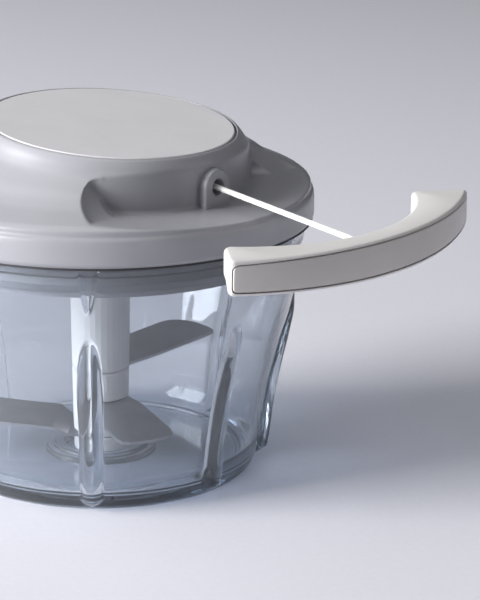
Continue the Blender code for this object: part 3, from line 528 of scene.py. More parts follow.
def skin(name: str, rings: Array, material: Material, closed: bool = False) -> Object:
    """Make a mesh from a stack of closed rings.

    Args:
        name: the piece's name.
        rings: places, as rings by points by three coordinates.
        material: its finish.
        closed: whether the last ring joins the first, or else each closes to one point.

    Returns:
        The new object, shaded smooth, with every face pointing outwards.
    """
    rows, columns = rings.shape[:2]
    places = rings.reshape(-1, 3)
    first = np.arange(rows if closed else rows - 1)[:, None] * columns
    column = np.arange(columns)[None, :]
    beside = (column + 1) % columns
    above = (first + columns) % (rows * columns)
    quads = np.stack([first + column, first + beside, above + beside, above + column], -1)
    faces = quads.reshape(-1, 4).tolist()
    extra = []
    for row in () if closed else (0, rows - 1):
        hub, start = len(places) + len(extra), row * columns
        extra.append(rings[row].mean(axis=0))
        faces += [(start + c, start + (c + 1) % columns, hub) for c in range(columns)]
    mesh = bpy.data.meshes.new(name)
    mesh.from_pydata(np.vstack([places, *extra]).tolist(), [], faces)
    mesh.validate()
    mesh.shade_smooth()
    piece = add_piece(name, mesh, material)
    outward(piece)
    return piece


def turned(profile: Array, headings: Array) -> Array:
    """Rings of a (radius, height) profile turned about Z, with a point at each heading."""
    r, z = profile[:, :1], np.repeat(profile[:, 1:], len(headings), axis=1)
    return np.stack([r * np.cos(headings), r * np.sin(headings), z], -1)


def outward(piece: Object) -> None:
    """Point every face of a closed mesh outwards.

    Args:
        piece: the object that has the mesh.
    """
    bpy.context.view_layer.objects.active = piece
    piece.select_set(True)
    bpy.ops.object.mode_set(mode="EDIT")
    bpy.ops.mesh.select_all(action="SELECT")
    bpy.ops.mesh.normals_make_consistent(inside=False)
    bpy.ops.object.mode_set(mode="OBJECT")
    piece.select_set(False)


def slab(
    name: str,
    outline: Array,
    low: float,
    high: float,
    edge: float,
    change: Callable[[Vector], Vector],
    material: Material,
    cuts: Sequence[float] = (),
    axis: int = 0,
) -> Object:
    """Make an outline solid between two heights, with rounded rims, and then bend it.

    Args:
        name: the piece's name.
        outline: (x, y) corners in order.
        low: the lower height.
        high: the upper height.
        edge: radius of the round along both rims.
        change: gives each point's place after bending.
        material: its finish.
        cuts: places at which the flat faces are divided, so that they can bend.
        axis: the axis along which the cuts lie, 0 for X or 1 for Y.

    Returns:
        The new object.
    """
    shape = bmesh.new()
    corners = [shape.verts.new((x, y, low)) for x, y in outline]
    base = shape.faces.new(corners)
    lifted = bmesh.ops.extrude_face_region(shape, geom=[base])
    raised = [v for v in lifted["geom"] if isinstance(v, bmesh.types.BMVert)]
    bmesh.ops.translate(shape, verts=raised, vec=(0.0, 0.0, high - low))
    rims = [e for e in shape.edges if abs(e.verts[0].co.z - e.verts[1].co.z) < edge / 9]
    shares = {"segments": 4, "profile": 0.5, "affect": "EDGES", "clamp_overlap": True}
    bmesh.ops.bevel(shape, geom=rims, offset=edge, **shares)
    along = Vector((1.0 - axis, float(axis), 0.0))
    for place in cuts:
        bmesh.ops.bisect_plane(
            shape,
            geom=shape.verts[:] + shape.edges[:] + shape.faces[:],
            plane_co=along * place,
            plane_no=along,
        )
    for vertex in shape.verts:
        vertex.co = change(vertex.co)
    bmesh.ops.recalc_face_normals(shape, faces=shape.faces)
    mesh = bpy.data.meshes.new(name)
    shape.to_mesh(mesh)
    shape.free()
    mesh.shade_smooth()
    mesh.set_sharp_from_angle(angle=SHARP_ANGLE)
    return add_piece(name, mesh, material)


def carved(piece: Object, tool: Object) -> None:
    """Take one closed shape out of another and delete it.

    Args:
        piece: what is cut.
        tool: what cuts it and is deleted.
    """
    cut = piece.modifiers.new("cut", "BOOLEAN")
    cut.operation = "DIFFERENCE"
    cut.object = tool
    cut.solver = "EXACT"
    bpy.context.view_layer.update()
    graph = bpy.context.evaluated_depsgraph_get()
    mesh = bpy.data.meshes.new_from_object(piece.evaluated_get(graph))
    piece.modifiers.clear()
    piece.data = mesh
    bpy.data.objects.remove(tool)


def cornered(points: Sequence[Sequence[float]], radii: Sequence[float], steps: int) -> Array:
    """Round each corner of a closed outline by its own radius.

    Args:
        points: the corners.
        radii: how far each round reaches along its sides.
        steps: how many pieces a round has.

    Returns:
        The rounded outline.
    """
    line = [np.array(p, float) for p in points]
    out = []
    for back, here, on, radius in zip(line[-1:] + line, line, line[1:] + line[:1], radii):
        if radius > 0:
            sides = (np.linalg.norm(back - here), np.linalg.norm(on - here))
            reach = [min(radius, CLOSED_SHARE * side) for side in sides]
            out += rounded(back, here, on, reach, steps)
        else:
            out.append(here)
    return np.array(out)


# ---- The pull cord


@dataclass
class PullCord:
    """Taut braided cord from the reel, through the outlet, to the knot in the handle."""

    finish: Material
    radius: float = 0.9 * MM
    reel_radius: float = 17.2 * MM
    bend_x: float = 44.6 * MM
    bend_z: float = 104.25 * MM
    slope: float = -0.1252
    end_x: float = 117.1 * MM
    bend_share: float = 0.04
    steps: int = 26
    outlet_x: float = 52.0 * MM
    lay_length: float = 4.2 * MM
    carriers: int = 4
    yarn_relief: float = 0.09
    sides: int = 24
    ring_gap: float = 0.3 * MM

    def route(self) -> list[Vector]:
        """The cord's middle line, off the reel and straight to the handle.

        Returns:
            The line's points.
        """
        wrap = math.acos(self.reel_radius / self.bend_x)
        start = Vector((math.cos(wrap), -math.sin(wrap), 0.0)) * self.reel_radius
        start.z = self.bend_z
        bend = Vector((self.bend_x, 0.0, self.bend_z))
        end = Vector((self.end_x, 0.0, self.bend_z + self.slope * (self.end_x - self.bend_x)))
        near = bend.lerp(start, self.bend_share)
        far = bend.lerp(end, self.bend_share)
        few = self.steps // 4
        points = [start] + [start.lerp(near, (i + 1) / few) for i in range(few)]
        for i in range(1, few):
            share = i / few
            points.append(near.lerp(bend, share).lerp(bend.lerp(far, share), share))
        half = self.steps // 2
        return points + [far.lerp(end, i / half) for i in range(half + 1)]

    def build(self) -> None:
        """Make the braided tube along the route, which turns at the outlet and runs straight to
        the handle.
        """
        route = self.route()
        line = divided(np.array([list(p) for p in route]), self.ring_gap)
        along = np.concatenate([[0.0], np.cumsum(np.linalg.norm(np.diff(line, axis=0), axis=1))])
        way = np.gradient(line, axis=0)
        way /= np.linalg.norm(way, axis=1)[:, None]
        side = np.cross(way, [0.0, 0.0, 1.0])
        side /= np.linalg.norm(side, axis=1)[:, None]
        rise = np.cross(side, way)
        angle = np.linspace(0.0, 2 * math.pi, self.sides, endpoint=False)[None, :]
        turn = 2 * math.pi * along[:, None] / self.lay_length
        left = np.cos(self.carriers * angle + turn)
        right = np.cos(self.carriers * angle - turn)
        relief = 1.0 - self.yarn_relief * (1.0 - np.maximum(left, right)) / 2
        r = (self.radius * relief)[..., None]
        rings = (
            line[:, None, :]
            + r * np.cos(angle)[..., None] * side[:, None, :]
            + r * np.sin(angle)[..., None] * rise[:, None, :]
        )
        cord = skin("pull_cord", rings, self.finish)
        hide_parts("cord")
        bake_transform(cord)


# ---- The bowl


@dataclass
class Bowl:
    """Clear bowl: foot ring, flared wall with outside ribs, scalloped rim and floor cup."""

    finish: Material
    height: float = 85.7 * MM
    foot_r: float = 50.6 * MM
    foot_width: float = 2.4 * MM
    foot_height: float = 0.8 * MM
    foot_round: float = 1.6 * MM
    base_r: float = 53.4 * MM
    mouth_r: float = 67.3 * MM
    rim_r: float = 68.4 * MM
    rim_height: float = 5.5 * MM
    wall: float = 2.4 * MM
    wall_rows: tuple[int, int] = (76, 56)
    floor: float = 4.0 * MM
    corner: float = 3.4 * MM
    ledge: float = 1.0 * MM
    ledge_width: float = 2.4 * MM
    groove_width: float = 1.8 * MM
    groove_depth: float = 0.9 * MM
    ribs: int = 8
    rib_r: float = 3.6 * MM
    rib_heading: float = math.radians(-49.4)
    rib_crease: float = 0.25 * MM
    rib_reach: float = math.radians(6.0)
    rib_columns: int = 27
    gap_columns: int = 15
    rib_end: float = 0.76
    toe_end: float = 0.05
    toe_size: float = 0.35
    scallop_r: float = 3.7 * MM
    scallop_length: float = 15.0 * MM
    scallop_depth: float = 2.6 * MM
    scallop_crease: float = 0.12 * MM
    scallop_tip: float = 0.05
    scallop_power: float = 0.8
    # a radius this far out of the way never wins where two surfaces are blended
    apart: float = 5.0 * MM
    foot_ease: float = 0.45 * MM
    rim_ease: float = 1.3 * MM
    floor_ease: float = 0.5 * MM
    foot_step: float = 1.5 * MM
    rim_step: float = 0.8 * MM
    floor_step: float = 2.0 * MM
    cup: tuple[float, ...] = (18.5 * MM, 15.8 * MM, 12.2 * MM)
    cup_step: float = 1.4 * MM
    cup_height: float = 2.5 * MM
    boss_r: float = 3.9 * MM
    boss_height: float = 5.5 * MM
    pin_r: float = 2.8 * MM
    pin_foot: float = 2.2 * MM
    # (share of the height, share of the way from base radius to mouth radius)
    wall_shares: tuple[Pair, ...] = (
        (0.053, 0.0), (0.117, 0.065), (0.21, 0.13), (0.315, 0.237), (0.42, 0.381),
        (0.525, 0.547), (0.63, 0.741), (0.723, 0.856), (0.817, 0.935), (0.904, 1.0),
    )
    # (share of the height, how far a rib stands proud as a share of its radius)
    rib_shares: tuple[Pair, ...] = (
        (0.05, 0.95), (0.2, 0.93), (0.315, 0.9), (0.42, 0.86), (0.525, 0.77),
        (0.61, 0.53), (0.67, 0.26), (0.71, 0.04), (0.76, -0.3),
    )

    def wall_radius(self, height: Array) -> Array:
        """Radius of the wall's outside between the ribs at each height."""
        shares = curve_through(self.wall_shares, height / self.height)
        return self.base_r + (self.mouth_r - self.base_r) * shares

    def headings(self) -> Array:
        """Column angles, close together across each rib.

        Returns:
            The angles in order.
        """
        pitch, near = 2 * math.pi / self.ribs, self.rib_reach
        across = np.linspace(-near, near, self.rib_columns)
        between = np.linspace(near, pitch - near, self.gap_columns)[1:-1]
        sector = np.concatenate([across, between])
        return np.concatenate([self.rib_heading + i * pitch + sector for i in range(self.ribs)])

    def off_rib(self, headings: Array) -> Array:
        """Angle of each column from the nearest rib."""
        pitch = 2 * math.pi / self.ribs
        return (headings - self.rib_heading + pitch / 2) % pitch - pitch / 2

    def outside(self) -> Array:
        """Profile from the underside's middle up to the rim's top.

        Returns:
            Its (radius, height) points.
        """
        low = self.wall_shares[0][0] * self.height
        high = self.wall_shares[-1][0] * self.height
        groove_r = self.foot_r - self.foot_width
        groove_end = groove_r - self.groove_width
        groove_top = self.foot_height + self.groove_depth
        foot = [
            (0.0, self.foot_height),
            (groove_end, self.foot_height),
            (groove_end, groove_top),
            (groove_r, groove_top),
            (groove_r, 0.0),
            (self.foot_r, 0.0),
            (self.foot_r + self.foot_round, self.foot_round),
            (self.base_r, low),
        ]
        z = np.linspace(low, high, self.wall_rows[0])
        wall = np.stack([self.wall_radius(z), z], -1)
        rim = [
            (self.mouth_r, high),
            (self.rim_r, self.height - self.rim_height),
            (self.rim_r, self.height),
            (self.mouth_r - self.wall, self.height),
        ]
        start = divided(eased(foot, self.foot_ease), self.foot_step)
        end = divided(eased(rim, self.rim_ease), self.rim_step)
        return np.vstack([start[:-1], wall[:-1], end[:-1]])

    def inside(self) -> Array:
        """Profile from the mouth's edge down to the bottom of the pin's hole.

        Returns:
            Its (radius, height) points.
        """
        low = self.wall_shares[1][0] * self.height
        z = np.linspace(self.height, low, self.wall_rows[1])
        wall = np.stack([self.wall_radius(z) - self.wall, z], -1)
        corner = float(self.wall_radius(np.array([self.floor]))[0]) - self.wall
        shelf_r, shelf = corner - self.corner, self.floor + self.ledge
        ring, outer, inner = self.cup
        step, lip = self.floor + self.cup_step, self.floor + self.cup_height
        boss = self.floor + self.boss_height
        floor = [
            tuple(wall[-1]),
            (corner - self.corner / 3, shelf + self.corner / 3),
            (shelf_r, shelf),
            (shelf_r - self.ledge_width, shelf),
            (shelf_r - self.ledge_width, self.floor),
            (ring, self.floor),
            (ring, step),
            (outer, step),
            (outer, lip),
            (inner, lip),
            (inner, self.floor),
            (self.boss_r, self.floor),
            (self.boss_r, boss),
            (self.pin_r, boss),
            (self.pin_r, self.pin_foot),
            (0.0, self.pin_foot),
        ]
        floor_line = divided(eased(floor, self.floor_ease), self.floor_step)
        return np.vstack([wall[:-1], floor_line])

    def ribbed(self, radius: Array, height: Array, off: Array) -> Array:
        """Outside radius with the ribs added and the rim's scallops taken away.

        Args:
            radius: plain radius of each ring, as a column.
            height: height of each ring, as a column.
            off: angle of each column from its rib, as a row.

        Returns:
            The radius of every point.
        """
        share = height / self.height
        toe_r = self.foot_r + self.foot_round / 2
        proud = curve_through(self.rib_shares, np.clip(share, self.toe_end, self.rib_end))
        middle = self.wall_radius(height) + (proud - 1.0) * self.rib_r
        toe_height = self.toe_end * self.height - self.foot_round
        toe = np.clip((height - self.foot_round) / toe_height, 0, 1)
        middle = toe_r + (middle - toe_r) * toe
        bar = self.rib_r * (self.toe_size + (1 - self.toe_size) * toe)
        within = bar**2 - (middle * np.sin(off)) ** 2
        rod = middle * np.cos(off) + np.sqrt(np.maximum(within, 0))
        there = (within > 0) & (height >= self.foot_round) & (share <= self.rib_end)
        rod = np.where(there, rod, radius - self.apart)
        full = smooth_max(radius, rod, self.rib_crease)
        low = self.height - self.scallop_length
        climb = (height - low) / self.scallop_length
        start_r = float(self.wall_radius(np.array([low]))[0])
        end_r = self.rim_r + self.scallop_r - self.scallop_depth
        axis = start_r + (end_r - start_r) * climb
        grown = np.clip(climb, 0, 1) ** self.scallop_power
        bite = self.scallop_r * (self.scallop_tip + (1 - self.scallop_tip) * grown)
        within = bite**2 - (axis * np.sin(off)) ** 2
        hollow = axis * np.cos(off) - np.sqrt(np.maximum(within, 0))
        hollow = np.where((within > 0) & (climb > 0), hollow, full + self.apart)
        return smooth_min(full, hollow, self.scallop_crease)

    def build(self) -> None:
        """Make the bowl, which stands for its CAD node."""
        headings = self.headings()
        outer = self.outside()
        r, z = outer[:, :1], outer[:, 1:]
        ribbed = self.ribbed(r, z, self.off_rib(headings)[None, :])
        radius = np.where((r > self.foot_r) & (z > self.foot_round), ribbed, r)
        height = np.repeat(z, len(headings), axis=1)
        shell = np.stack([radius * np.cos(headings), radius * np.sin(headings), height], -1)
        rings = np.concatenate([shell, turned(self.inside(), headings)])
        bowl = skin("clear_bowl", rings, self.finish)
        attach(bowl, Body.BOWL.value)
        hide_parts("bowl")


# ---- The lid


@dataclass
class Lid:
    """Domed lid shell with the handle's recess, the outlet's arch, and a near-black lip under its
    rim that paints the gap's shadow.
    """

    finish: Material
    # the lip's near-black finish is painted shadow, the shade in the gap under the rim
    gap_shadow_finish: Material
    foot: float = 86.4 * MM
    radius: float = 71.3 * MM
    top: float = 117.6 * MM
    wall: float = 2.4 * MM
    seat_depth: float = 1.9 * MM
    seat_r: float = 41.3 * MM
    disc_offset: float = 5.4 * MM
    tilt: float = 0.086
    tilt_low_share: float = 0.532
    tilt_high_share: float = 0.869
    recess_r: float = 49.6 * MM
    recess_heading: float = math.radians(45.6)
    heading_limits: Pair = (-0.6, 1.2)
    nose_r: float = 5.5 * MM
    nose_z: float = 104.3 * MM
    nose_reach: float = 1.08
    nose_slant: float = 0.9
    nose_soft: float = 1.5 * MM
    nose_rim_r: float = 56.6 * MM
    nose_lean: float = 1.6
    nose_depth: float = 7.5 * MM
    ledge_z: float = 103.6 * MM
    ledge_tilt: float = 0.13
    ledge_lean: float = 0.1
    ledge_fillet: float = 1.3 * MM
    edge_round: float = 0.6 * MM
    # how far to look for the recess from the plain dome, in what steps, and towards where
    search: float = 20.0 * MM
    search_step: float = 0.2 * MM
    eye: Pair = (46.0 * MM, 92.0 * MM)
    least_facing: float = 0.25
    seat_rim: float = 0.5 * MM
    dome_ease: float = 1.6 * MM
    hub_r: float = 0.4 * MM
    dome_step: float = 0.45 * MM
    plate_step: float = 6.0 * MM
    under_step: float = 1.2 * MM
    spare_heading: float = math.radians(8.0)
    lip_height: float = 0.62 * MM
    lip_width: float = 5.0 * MM
    lip_inset: float = 0.35 * MM
    lip_ease: float = 0.15 * MM
    lip_step: float = 2.0
    outlet_z: float = 103.5 * MM
    outlet_r: float = 2.6 * MM
    bore_slack: float = 0.4 * MM
    bore_sides: int = 40
    bore_span: Pair = (40.0 * MM, 60.0 * MM)
    arch_r: float = 5.8 * MM
    arch_proud: float = 2.7 * MM
    arch_round: float = 0.7 * MM
    arch_root: float = 2.0 * MM
    hole_round: float = 0.5 * MM
    arch_columns: int = 72
    arch_steps: int = 5
    # (from, to, step) of the dome's columns, in degrees
    heading_spans: tuple[Triple, ...] = (
        (-180, -62, 1.5), (-62, -38, 0.5), (-38, 38, 1.0),
        (38, 62, 0.5), (62, 180, 1.5),
    )
    # (share of the way from disc edge to lid radius, share of the height above the rim)
    dome_shares: tuple[Pair, ...] = (
        (0.0, 1.0), (0.033, 0.987), (0.073, 0.945), (0.12, 0.878), (0.183, 0.808),
        (0.277, 0.75), (0.397, 0.679), (0.523, 0.583), (0.657, 0.51), (0.81, 0.446),
        (0.91, 0.404), (0.963, 0.365), (0.957, 0.314), (0.99, 0.282), (1.0, 0.231),
        (1.0, 0.032), (0.98, 0.0),
    )

    def headings(self) -> Array:
        """Column angles, close together at the ends of the recess."""
        return np.radians(np.concatenate([np.arange(*span) for span in self.heading_spans]))

    def leaned(self, places: Array) -> Array:
        """Shear the top of the lid down towards the pull side and out to the disc's middle.

        Args:
            places: places on the upright lid.

        Returns:
            The places on the leaning lid.
        """
        low = self.foot + self.tilt_low_share * (self.top - self.foot)
        high = self.foot + self.tilt_high_share * (self.top - self.foot)
        share = np.clip((places[..., 2] - low) / (high - low), 0.0, 1.0)
        share = share * share * (3 - 2 * share)
        moved = places.copy()
        moved[..., 0] += self.disc_offset * share
        moved[..., 2] -= self.tilt * places[..., 0] * share
        return moved

    def recess(self, places: Array) -> Array:
        """Distance outside the handle's recess, negative within it.

        Args:
            places: the places to measure from.

        Returns:
            The distance of each.
        """
        x, y, z = np.moveaxis(places, -1, 0)
        r = np.hypot(x, y)
        beyond = np.abs(np.arctan2(y, x)) - self.recess_heading
        past = r * np.sin(np.clip(beyond, *self.heading_limits))
        rim = self.nose_rim_r - self.nose_lean * (z - self.nose_z)
        depth = np.clip(rim - r, 0.0, self.nose_depth)
        past = past + self.nose_slant * depth * depth / (depth + self.nose_soft)
        lean = self.ledge_lean * np.maximum(r - self.recess_r, 0.0)
        below = self.ledge_z + lean - self.ledge_tilt * x - z
        end = np.hypot(past / self.nose_reach, z - self.nose_z) - self.nose_r
        span = np.maximum(below, np.minimum(past, end))
        return smooth_max(span, self.recess_r - r, self.ledge_fillet)

    def dented(self, rings: Array) -> Array:
        """Sink the dome's points into the recess, towards a circle inside the lid.

        Args:
            rings: places on the plain dome.

        Returns:
            The places on the dome with its recess.
        """
        flat = rings[..., :2]
        out = np.linalg.norm(flat, axis=-1, keepdims=True)
        eye_r, eye_z = self.eye
        ray = np.concatenate([flat / out * eye_r, np.full(out.shape, eye_z)], axis=-1) - rings
        ray /= np.linalg.norm(ray, axis=-1, keepdims=True)
        normal = np.cross(np.gradient(rings, axis=1), np.gradient(rings, axis=0))
        normal /= np.maximum(np.linalg.norm(normal, axis=-1, keepdims=True), 1e-12)
        facing = np.maximum(np.abs((normal * ray).sum(-1)), self.least_facing)

        def outside(step: float) -> Array:
            """Positive as long as a step along the ray still ends in the open."""
            return smooth_max(-step * facing, -self.recess(rings + ray * step), self.edge_round)

        before = outside(0.0)
        depth = np.zeros(rings.shape[:2])
        found = before <= 0
        for step in np.arange(self.search_step, self.search, self.search_step):
            value = outside(step)
            crossed = ~found & (value <= 0)
            share = before / np.where(crossed, before - value, 1.0)
            depth = np.where(crossed, step - self.search_step * (1 - share), depth)
            found |= crossed
            before = value
        return rings + ray * depth[..., None]

    def shell_rings(self) -> Array:
        """Rings of the closed shell: seat, dome with recess, foot and inside.

        Returns:
            Places, as rings by points by three coordinates.
        """
        headings = self.headings()
        span, rise = self.radius - self.seat_r, self.top - self.foot
        dome = [(self.seat_r + a * span, self.foot + b * rise) for a, b in self.dome_shares]
        seat = self.top - self.seat_depth
        outer = eased([(self.seat_r, seat + self.seat_rim)] + dome, self.dome_ease, 5)
        rings = self.dented(self.leaned(turned(divided(outer, self.dome_step), headings)))
        plate = np.array([(self.hub_r, seat), (self.seat_r, seat)])
        plate = self.leaned(turned(divided(plate, self.plate_step), headings))
        roof = seat - self.wall
        inner = [p for p in self.inset(dome) if p[1] < roof][::-1]
        inner += [(inner[-1][0] - self.wall, roof), (self.hub_r, roof)]
        under = divided(np.array(inner), self.under_step)
        under = self.leaned(turned(under, headings))
        return np.concatenate([plate, rings, self.kept_in(under)])

    def inset(self, points: Sequence[Pair]) -> list[Pair]:
        """The dome's profile drawn one wall thickness inside.

        Args:
            points: the (radius, height) points of the outside.

        Returns:
            The points of the inside.
        """
        moved = []
        for i, (r, z) in enumerate(points):
            before = points[max(i - 1, 0)]
            after = points[min(i + 1, len(points) - 1)]
            run = Vector((after[0] - before[0], after[1] - before[1])).normalized()
            moved.append((r + run.y * self.wall, z - run.x * self.wall))
        return moved

    def kept_in(self, rings: Array) -> Array:
        """Hold the shell's inside one wall clear of the recess.

        Args:
            rings: places on the shell's inside.

        Returns:
            The places, moved where the recess needs it.
        """
        x, y, z = np.moveaxis(rings, -1, 0)
        r = np.hypot(x, y)
        beside = np.abs(np.arctan2(y, x)) < self.recess_heading + self.spare_heading
        ceiling = self.ledge_z - self.ledge_tilt * x - self.wall
        inside = beside & (r > self.recess_r - self.wall) & (z > ceiling)
        slim = self.recess_r - self.wall
        aim_r, aim_z = slim - 2 * self.wall, ceiling - 2 * self.wall
        to_wall = (r - slim) / np.maximum(r - aim_r, MM)
        to_ledge = (z - ceiling) / np.maximum(z - aim_z, MM)
        share = np.where(inside, np.minimum(to_wall, to_ledge), 0.0)
        kept = rings.copy()
        scale = 1.0 + share * (aim_r - r) / np.maximum(r, MM)
        kept[..., 0] *= scale
        kept[..., 1] *= scale
        kept[..., 2] += share * (aim_z - z)
        return kept

    def build_shell(self) -> None:
        """Make the shell, which stands for its CAD node, and bore its outlet."""
        shell = skin("lid_dome", self.shell_rings(), self.finish)
        carved(shell, self.bore())
        shell.data.set_sharp_from_angle(angle=SHARP_ANGLE)
        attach(shell, Body.LID.value)
        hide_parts("lid_shell")

    def bore(self) -> Object:
        """Make the tool that cuts the outlet through the wall.

        Returns:
            A round bar along X.
        """
        radius = self.outlet_r + self.bore_slack
        angle = np.linspace(0, 2 * math.pi, self.bore_sides, endpoint=False)
        ring = np.stack([0 * angle, radius * np.cos(angle), radius * np.sin(angle)], -1)
        rings = np.stack([ring + [x, 0.0, self.outlet_z] for x in self.bore_span])
        return skin("outlet_bore", rings, self.finish)

    def build_lip(self) -> None:
        """Make a thin near-black lip under the lid's rim: painted shadow, the dark line of the
        shaded gap between the rim and the bowl.
        """
        low, high = self.foot - self.lip_height, self.foot
        near, far = self.radius - self.lip_width, self.radius - self.lip_inset
        ring = eased([(near, low), (far, low), (far, high), (near, high)], self.lip_ease)
        turns = np.radians(np.arange(-180, 180, self.lip_step))
        lip = skin("gap_shadow_lip", turned(ring, turns), self.gap_shadow_finish, closed=True)
        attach(lip, Body.LID.value)

    def build_arch(self) -> None:
        """Make the raised arch, with the rounded lip of its hole."""
        low = self.ledge_z - self.ledge_tilt * self.recess_r - self.wall
        drop = self.outlet_z - low
        sweep = np.linspace(-math.pi / 2, 1.5 * math.pi, self.arch_columns, endpoint=False)
        round_way = np.stack([np.cos(sweep), np.sin(sweep)], -1)
        y, z = round_way.T
        reach = np.maximum(np.abs(y), np.abs(z) * self.arch_r / drop)
        outer = self.arch_r * round_way / np.where(z < 0, reach, 1.0)[:, None]
        hole = self.outlet_r * round_way
        back = self.recess_r - self.wall / 2
        face = self.recess_r + self.arch_proud
        quarter = np.linspace(0.0, math.pi / 2, self.arch_steps)
        ease, lip = self.arch_round, self.hole_round
        rows = [(back, outer)]
        for t in quarter:
            shrink = 1.0 - ease * (1 - math.cos(t)) / self.arch_r
            rows.append((face - ease * (1 - math.sin(t)), outer * shrink))
        for t in quarter:
            grow = 1.0 + lip * (1 - math.sin(t)) / self.outlet_r
            rows.append((face - lip * (1 - math.cos(t)), hole * grow))
        rows.append((back - self.arch_root, hole))
        rings = np.stack([np.insert(edge, 0, x, axis=1) for x, edge in rows])
        rings[..., 2] += self.outlet_z
        arch = skin("outlet_arch", rings, self.finish, closed=True)
        arch.data.set_sharp_from_angle(angle=SHARP_ANGLE)
        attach(arch, Body.LID.value)


# ---- The handle


@dataclass
class PullHandle:
    """Curved handle with a soft panel let into its front."""

    finish: Material
    panel_finish: Material
    top: float = 101.0 * MM
    height: float = 12.3 * MM
    end_rise: float = 1.8 * MM
    tip_rise: float = 0.8 * MM
    back_rise: float = 2.8 * MM
    front_x: float = 124.2 * MM
    thick: float = 9.0 * MM
    front_r: float = 112.0 * MM
    back_r: float = 60.0 * MM
    half: float = 58.8 * MM
    back_half: float = 45.8 * MM
    edge: float = 2.3 * MM
    tip_round: float = 2.6 * MM
    back_round: float = 4.5 * MM
    panel_depth: float = 1.6 * MM
    panel_top: float = 1.1 * MM
    panel_low: float = 1.5 * MM
    panel_end: float = 1.3 * MM
    panel_corner: float = 1.9 * MM
    panel_edge: float = 0.4 * MM
    groove: float = 0.35 * MM
    seat_edge: float = 0.05 * MM
    seat_proud: float = 5.0 * MM
    rim_angle: float = math.radians(40.0)
    steps: int = 48

    def arc(self, centre: float, radius: float, half: float) -> Array:
        """An arc about a centre on the X axis, from half its width at -Y to as far at +Y."""
        angle = np.linspace(-1.0, 1.0, self.steps) * math.asin(half / radius)
        return np.stack([centre + radius * np.cos(angle), radius * np.sin(angle)], -1)

    def risen(self, place: Vector) -> Vector:
        """Raise the underside towards the ends and the back, and flare the top's ends.

        Args:
            place: a point of the flat handle.

        Returns:
            The point's place on the handle.
        """
        low = self.top - self.height
        share = min(max((low + self.height / 2 - place.z) / (self.height / 4), 0.0), 1.0)
        out = min(abs(place.y) / self.half, 1.0)
        rise = self.end_rise * out * out
        centre = self.front_x - self.front_r
        from_front = self.front_r - math.hypot(place.x - centre, place.y)
        rise += self.back_rise * min(max(from_front / self.thick, 0.0), 1.0)
        flare = self.tip_rise * out**4 * (1.0 - share)
        return Vector((place.x, place.y, place.z + rise * share + flare))

    def bent_panel(
        self, name: str, grow: float, proud: float, edge: float, finish: Material
    ) -> Object:
        """Make the front panel, or the grown shape that cuts its seat.

        Args:
            name: the shape's name.
            grow: how much larger than the panel it is on every side.
            proud: how far it stands out of the handle's front.
            edge: radius of its rims.
            finish: its material.

        Returns:
            The bent shape.
        """
        reach = self.front_r * math.asin((self.half - self.panel_end) / self.front_r) + grow
        low = self.top - self.height + self.panel_low - grow
        high = self.top - self.panel_top + grow
        corners = [(-reach, low), (reach, low), (reach, high), (-reach, high)]
        outline = cornered(corners, [self.panel_corner + grow] * 4, 6)
        centre = self.front_x - self.front_r
        middle = (low + high) / 2

        def bent(place: Vector) -> Vector:
            """Wrap the flat panel round the handle's front and raise its lower edge.

            Args:
                place: a point of the flat panel.

            Returns:
                The point's place on the handle.
            """
            angle, radius = place.x / self.front_r, self.front_r + place.z
            rise = self.end_rise * (abs(place.x) / reach) ** 2
            share = min(max((middle - place.y) / (middle - low), 0.0), 1.0)
            x, y = centre + radius * math.cos(angle), radius * math.sin(angle)
            return Vector((x, y, place.y + rise * share))

        cuts = np.linspace(-reach, reach, self.steps + 1)[1:-1]
        return slab(name, outline, -self.panel_depth - grow, proud, edge, bent, finish, cuts)

    def build(self) -> None:
        """Make the handle's body and its panel."""
        front = self.arc(self.front_x - self.front_r, self.front_r, self.half)
        back_x = self.front_x - self.thick
        back = self.arc(back_x - self.back_r, self.back_r, self.back_half)[::-1]
        # each arc keeps its ends and loses the points next to them, which its rounds replace
        kept = [(front, 2, self.tip_round), (back, 3, self.back_round)]
        corners, radii = [], []
        for line, lost, radius in kept:
            middle = line[lost:-lost]
            corners += [line[0], *middle, line[-1]]
            radii += [radius, *([0.0] * len(middle)), radius]
        outline = cornered(corners, radii, 8)
        low, reach = self.top - self.height, self.half - MM
        cuts = np.linspace(-reach, reach, self.steps + 1)
        shape = (outline, low, self.top, self.edge, self.risen, self.finish, cuts, 1)
        body = slab("handle_grip", *shape)
        seat = ("panel_seat", self.groove, self.seat_proud, self.seat_edge, self.finish)
        carved(body, self.bent_panel(*seat))
        body.data.set_sharp_from_angle(angle=self.rim_angle)
        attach(body, Body.HANDLE.value)
        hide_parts("handle_body")
        panel = self.bent_panel("handle_panel", 0.0, 0.0, self.panel_edge, self.panel_finish)
        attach(panel, Body.HANDLE.value)
        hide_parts("handle_insert")


# ---- Studio


@dataclass(frozen=True)
class Softbox:
    """A square lamp: its name, where it hangs, its side in metres and its power in watts."""

    name: str
    place: Triple
    side: float
    power: float

    def build(self, aim: Vector) -> None:
        """Hang the lamp so that it faces a point.

        Args:
            aim: the point.
        """
        lamp = bpy.data.lights.new(self.name, "AREA")
        lamp.shape = "SQUARE"
        lamp.size = self.side
        lamp.energy = self.power
        look = aim - Vector(self.place)
        add_object(self.name, lamp).matrix_world = facing(self.place, look)


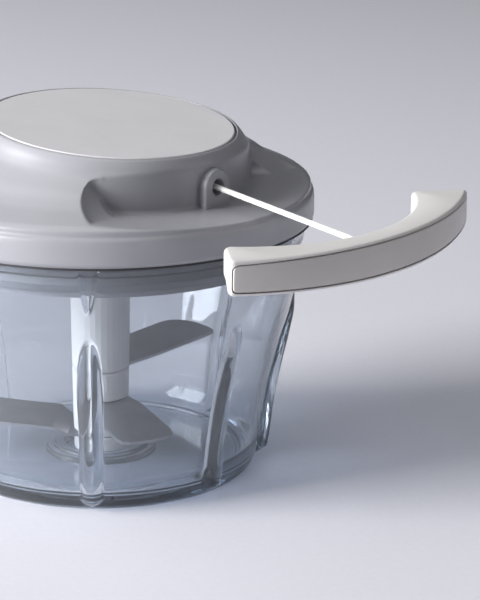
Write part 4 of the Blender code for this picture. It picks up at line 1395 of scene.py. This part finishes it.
@dataclass
class Studio:
    """Plain pale table, soft lamps and the camera of the photograph."""

    eye: Triple = (0.5594, -0.5826, 0.2967)
    look: Triple = (-0.62231, 0.72863, -0.28607)
    roll: float = math.radians(0.63)
    lens: float = 150.0
    sensor: float = 36.0
    near: float = 0.01
    table: Paper = Paper("table_paper", "d2d2da", 0.85)
    table_reach: float = 4.0
    table_gap: float = 0.3 * MM
    sky_shade: str = "d8dbe6"
    sky_power: float = 0.08
    lamp_aim: Triple = (0.02, 0.0, 0.06)
    lamps: tuple[Softbox, ...] = (
        Softbox("window", (-1.2, -1.99, 0.84), 1.3, 136.0),
        Softbox("window_top", (-1.3, -1.5, 1.43), 1.2, 12.0),
        Softbox("front", (0.05, -1.5, 0.7), 0.6, 1.6),
        Softbox("overhead", (-0.1, -0.1, 1.3), 1.0, 4.2),
        Softbox("fill", (1.25, 0.75, 0.7), 1.0, 2.6),
    )

    def build_camera(self) -> None:
        """Place the camera."""
        data = bpy.data.cameras.new("camera")
        data.lens = self.lens
        data.sensor_width = self.sensor
        data.clip_start = self.near
        camera = add_object("camera", data)
        camera.matrix_world = facing(self.eye, Vector(self.look), self.roll)
        bpy.context.scene.camera = camera

    def build_table(self) -> None:
        """Make the pale matte table that the chopper stands on."""
        mesh = bpy.data.meshes.new("table")
        sides = ((-1, -1), (1, -1), (1, 1), (-1, 1))
        corners = [(x * self.table_reach, y * self.table_reach, -self.table_gap) for x, y in sides]
        mesh.from_pydata(corners, [], [(0, 1, 2, 3)])
        table = add_piece("table", mesh, self.table.build())

    def build_light(self) -> None:
        """Hang the lamps and set the room's own light."""
        for lamp in self.lamps:
            lamp.build(Vector(self.lamp_aim))
        world = bpy.data.worlds.new("room")
        bpy.context.scene.world = world
        world.use_nodes = True
        tree = world.node_tree
        tree.nodes.clear()
        values = {"Color": linear(self.sky_shade), "Strength": self.sky_power}
        sky = add_node(tree, "Background", values)
        add_node(tree, "OutputWorld", {}, {"Surface": sky.outputs["Background"]})
        bpy.context.scene.view_settings.view_transform = "Standard"

    def build(self) -> None:
        """Set up camera, table and light."""
        self.build_camera()
        self.build_table()
        self.build_light()


def main() -> None:
    """Build the chopper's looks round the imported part."""
    logging.basicConfig(level=logging.INFO, format="%(name)s: %(message)s")
    bpy.ops.wm.read_factory_settings(use_empty=True)
    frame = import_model()
    finishes = Finishes.build()
    Studio().build()
    finishes.dress_nodes(frame["nodes"])
    made = finishes.made
    PullCord(made["cord_nylon"]).build()
    Bowl(made["clear_san"]).build()
    lid = Lid(made["grey_abs"], made["painted_gap_shadow"])
    lid.build_shell()
    lid.build_arch()
    lid.build_lip()
    PullHandle(made["handle_abs"], made["insert_tpe"]).build()
    for item in bpy.context.scene.objects:
        if item.type == "MESH":
            LOG.info("%s: %d faces", item.name, len(item.data.polygons))


if __name__ == "__main__":
    main()
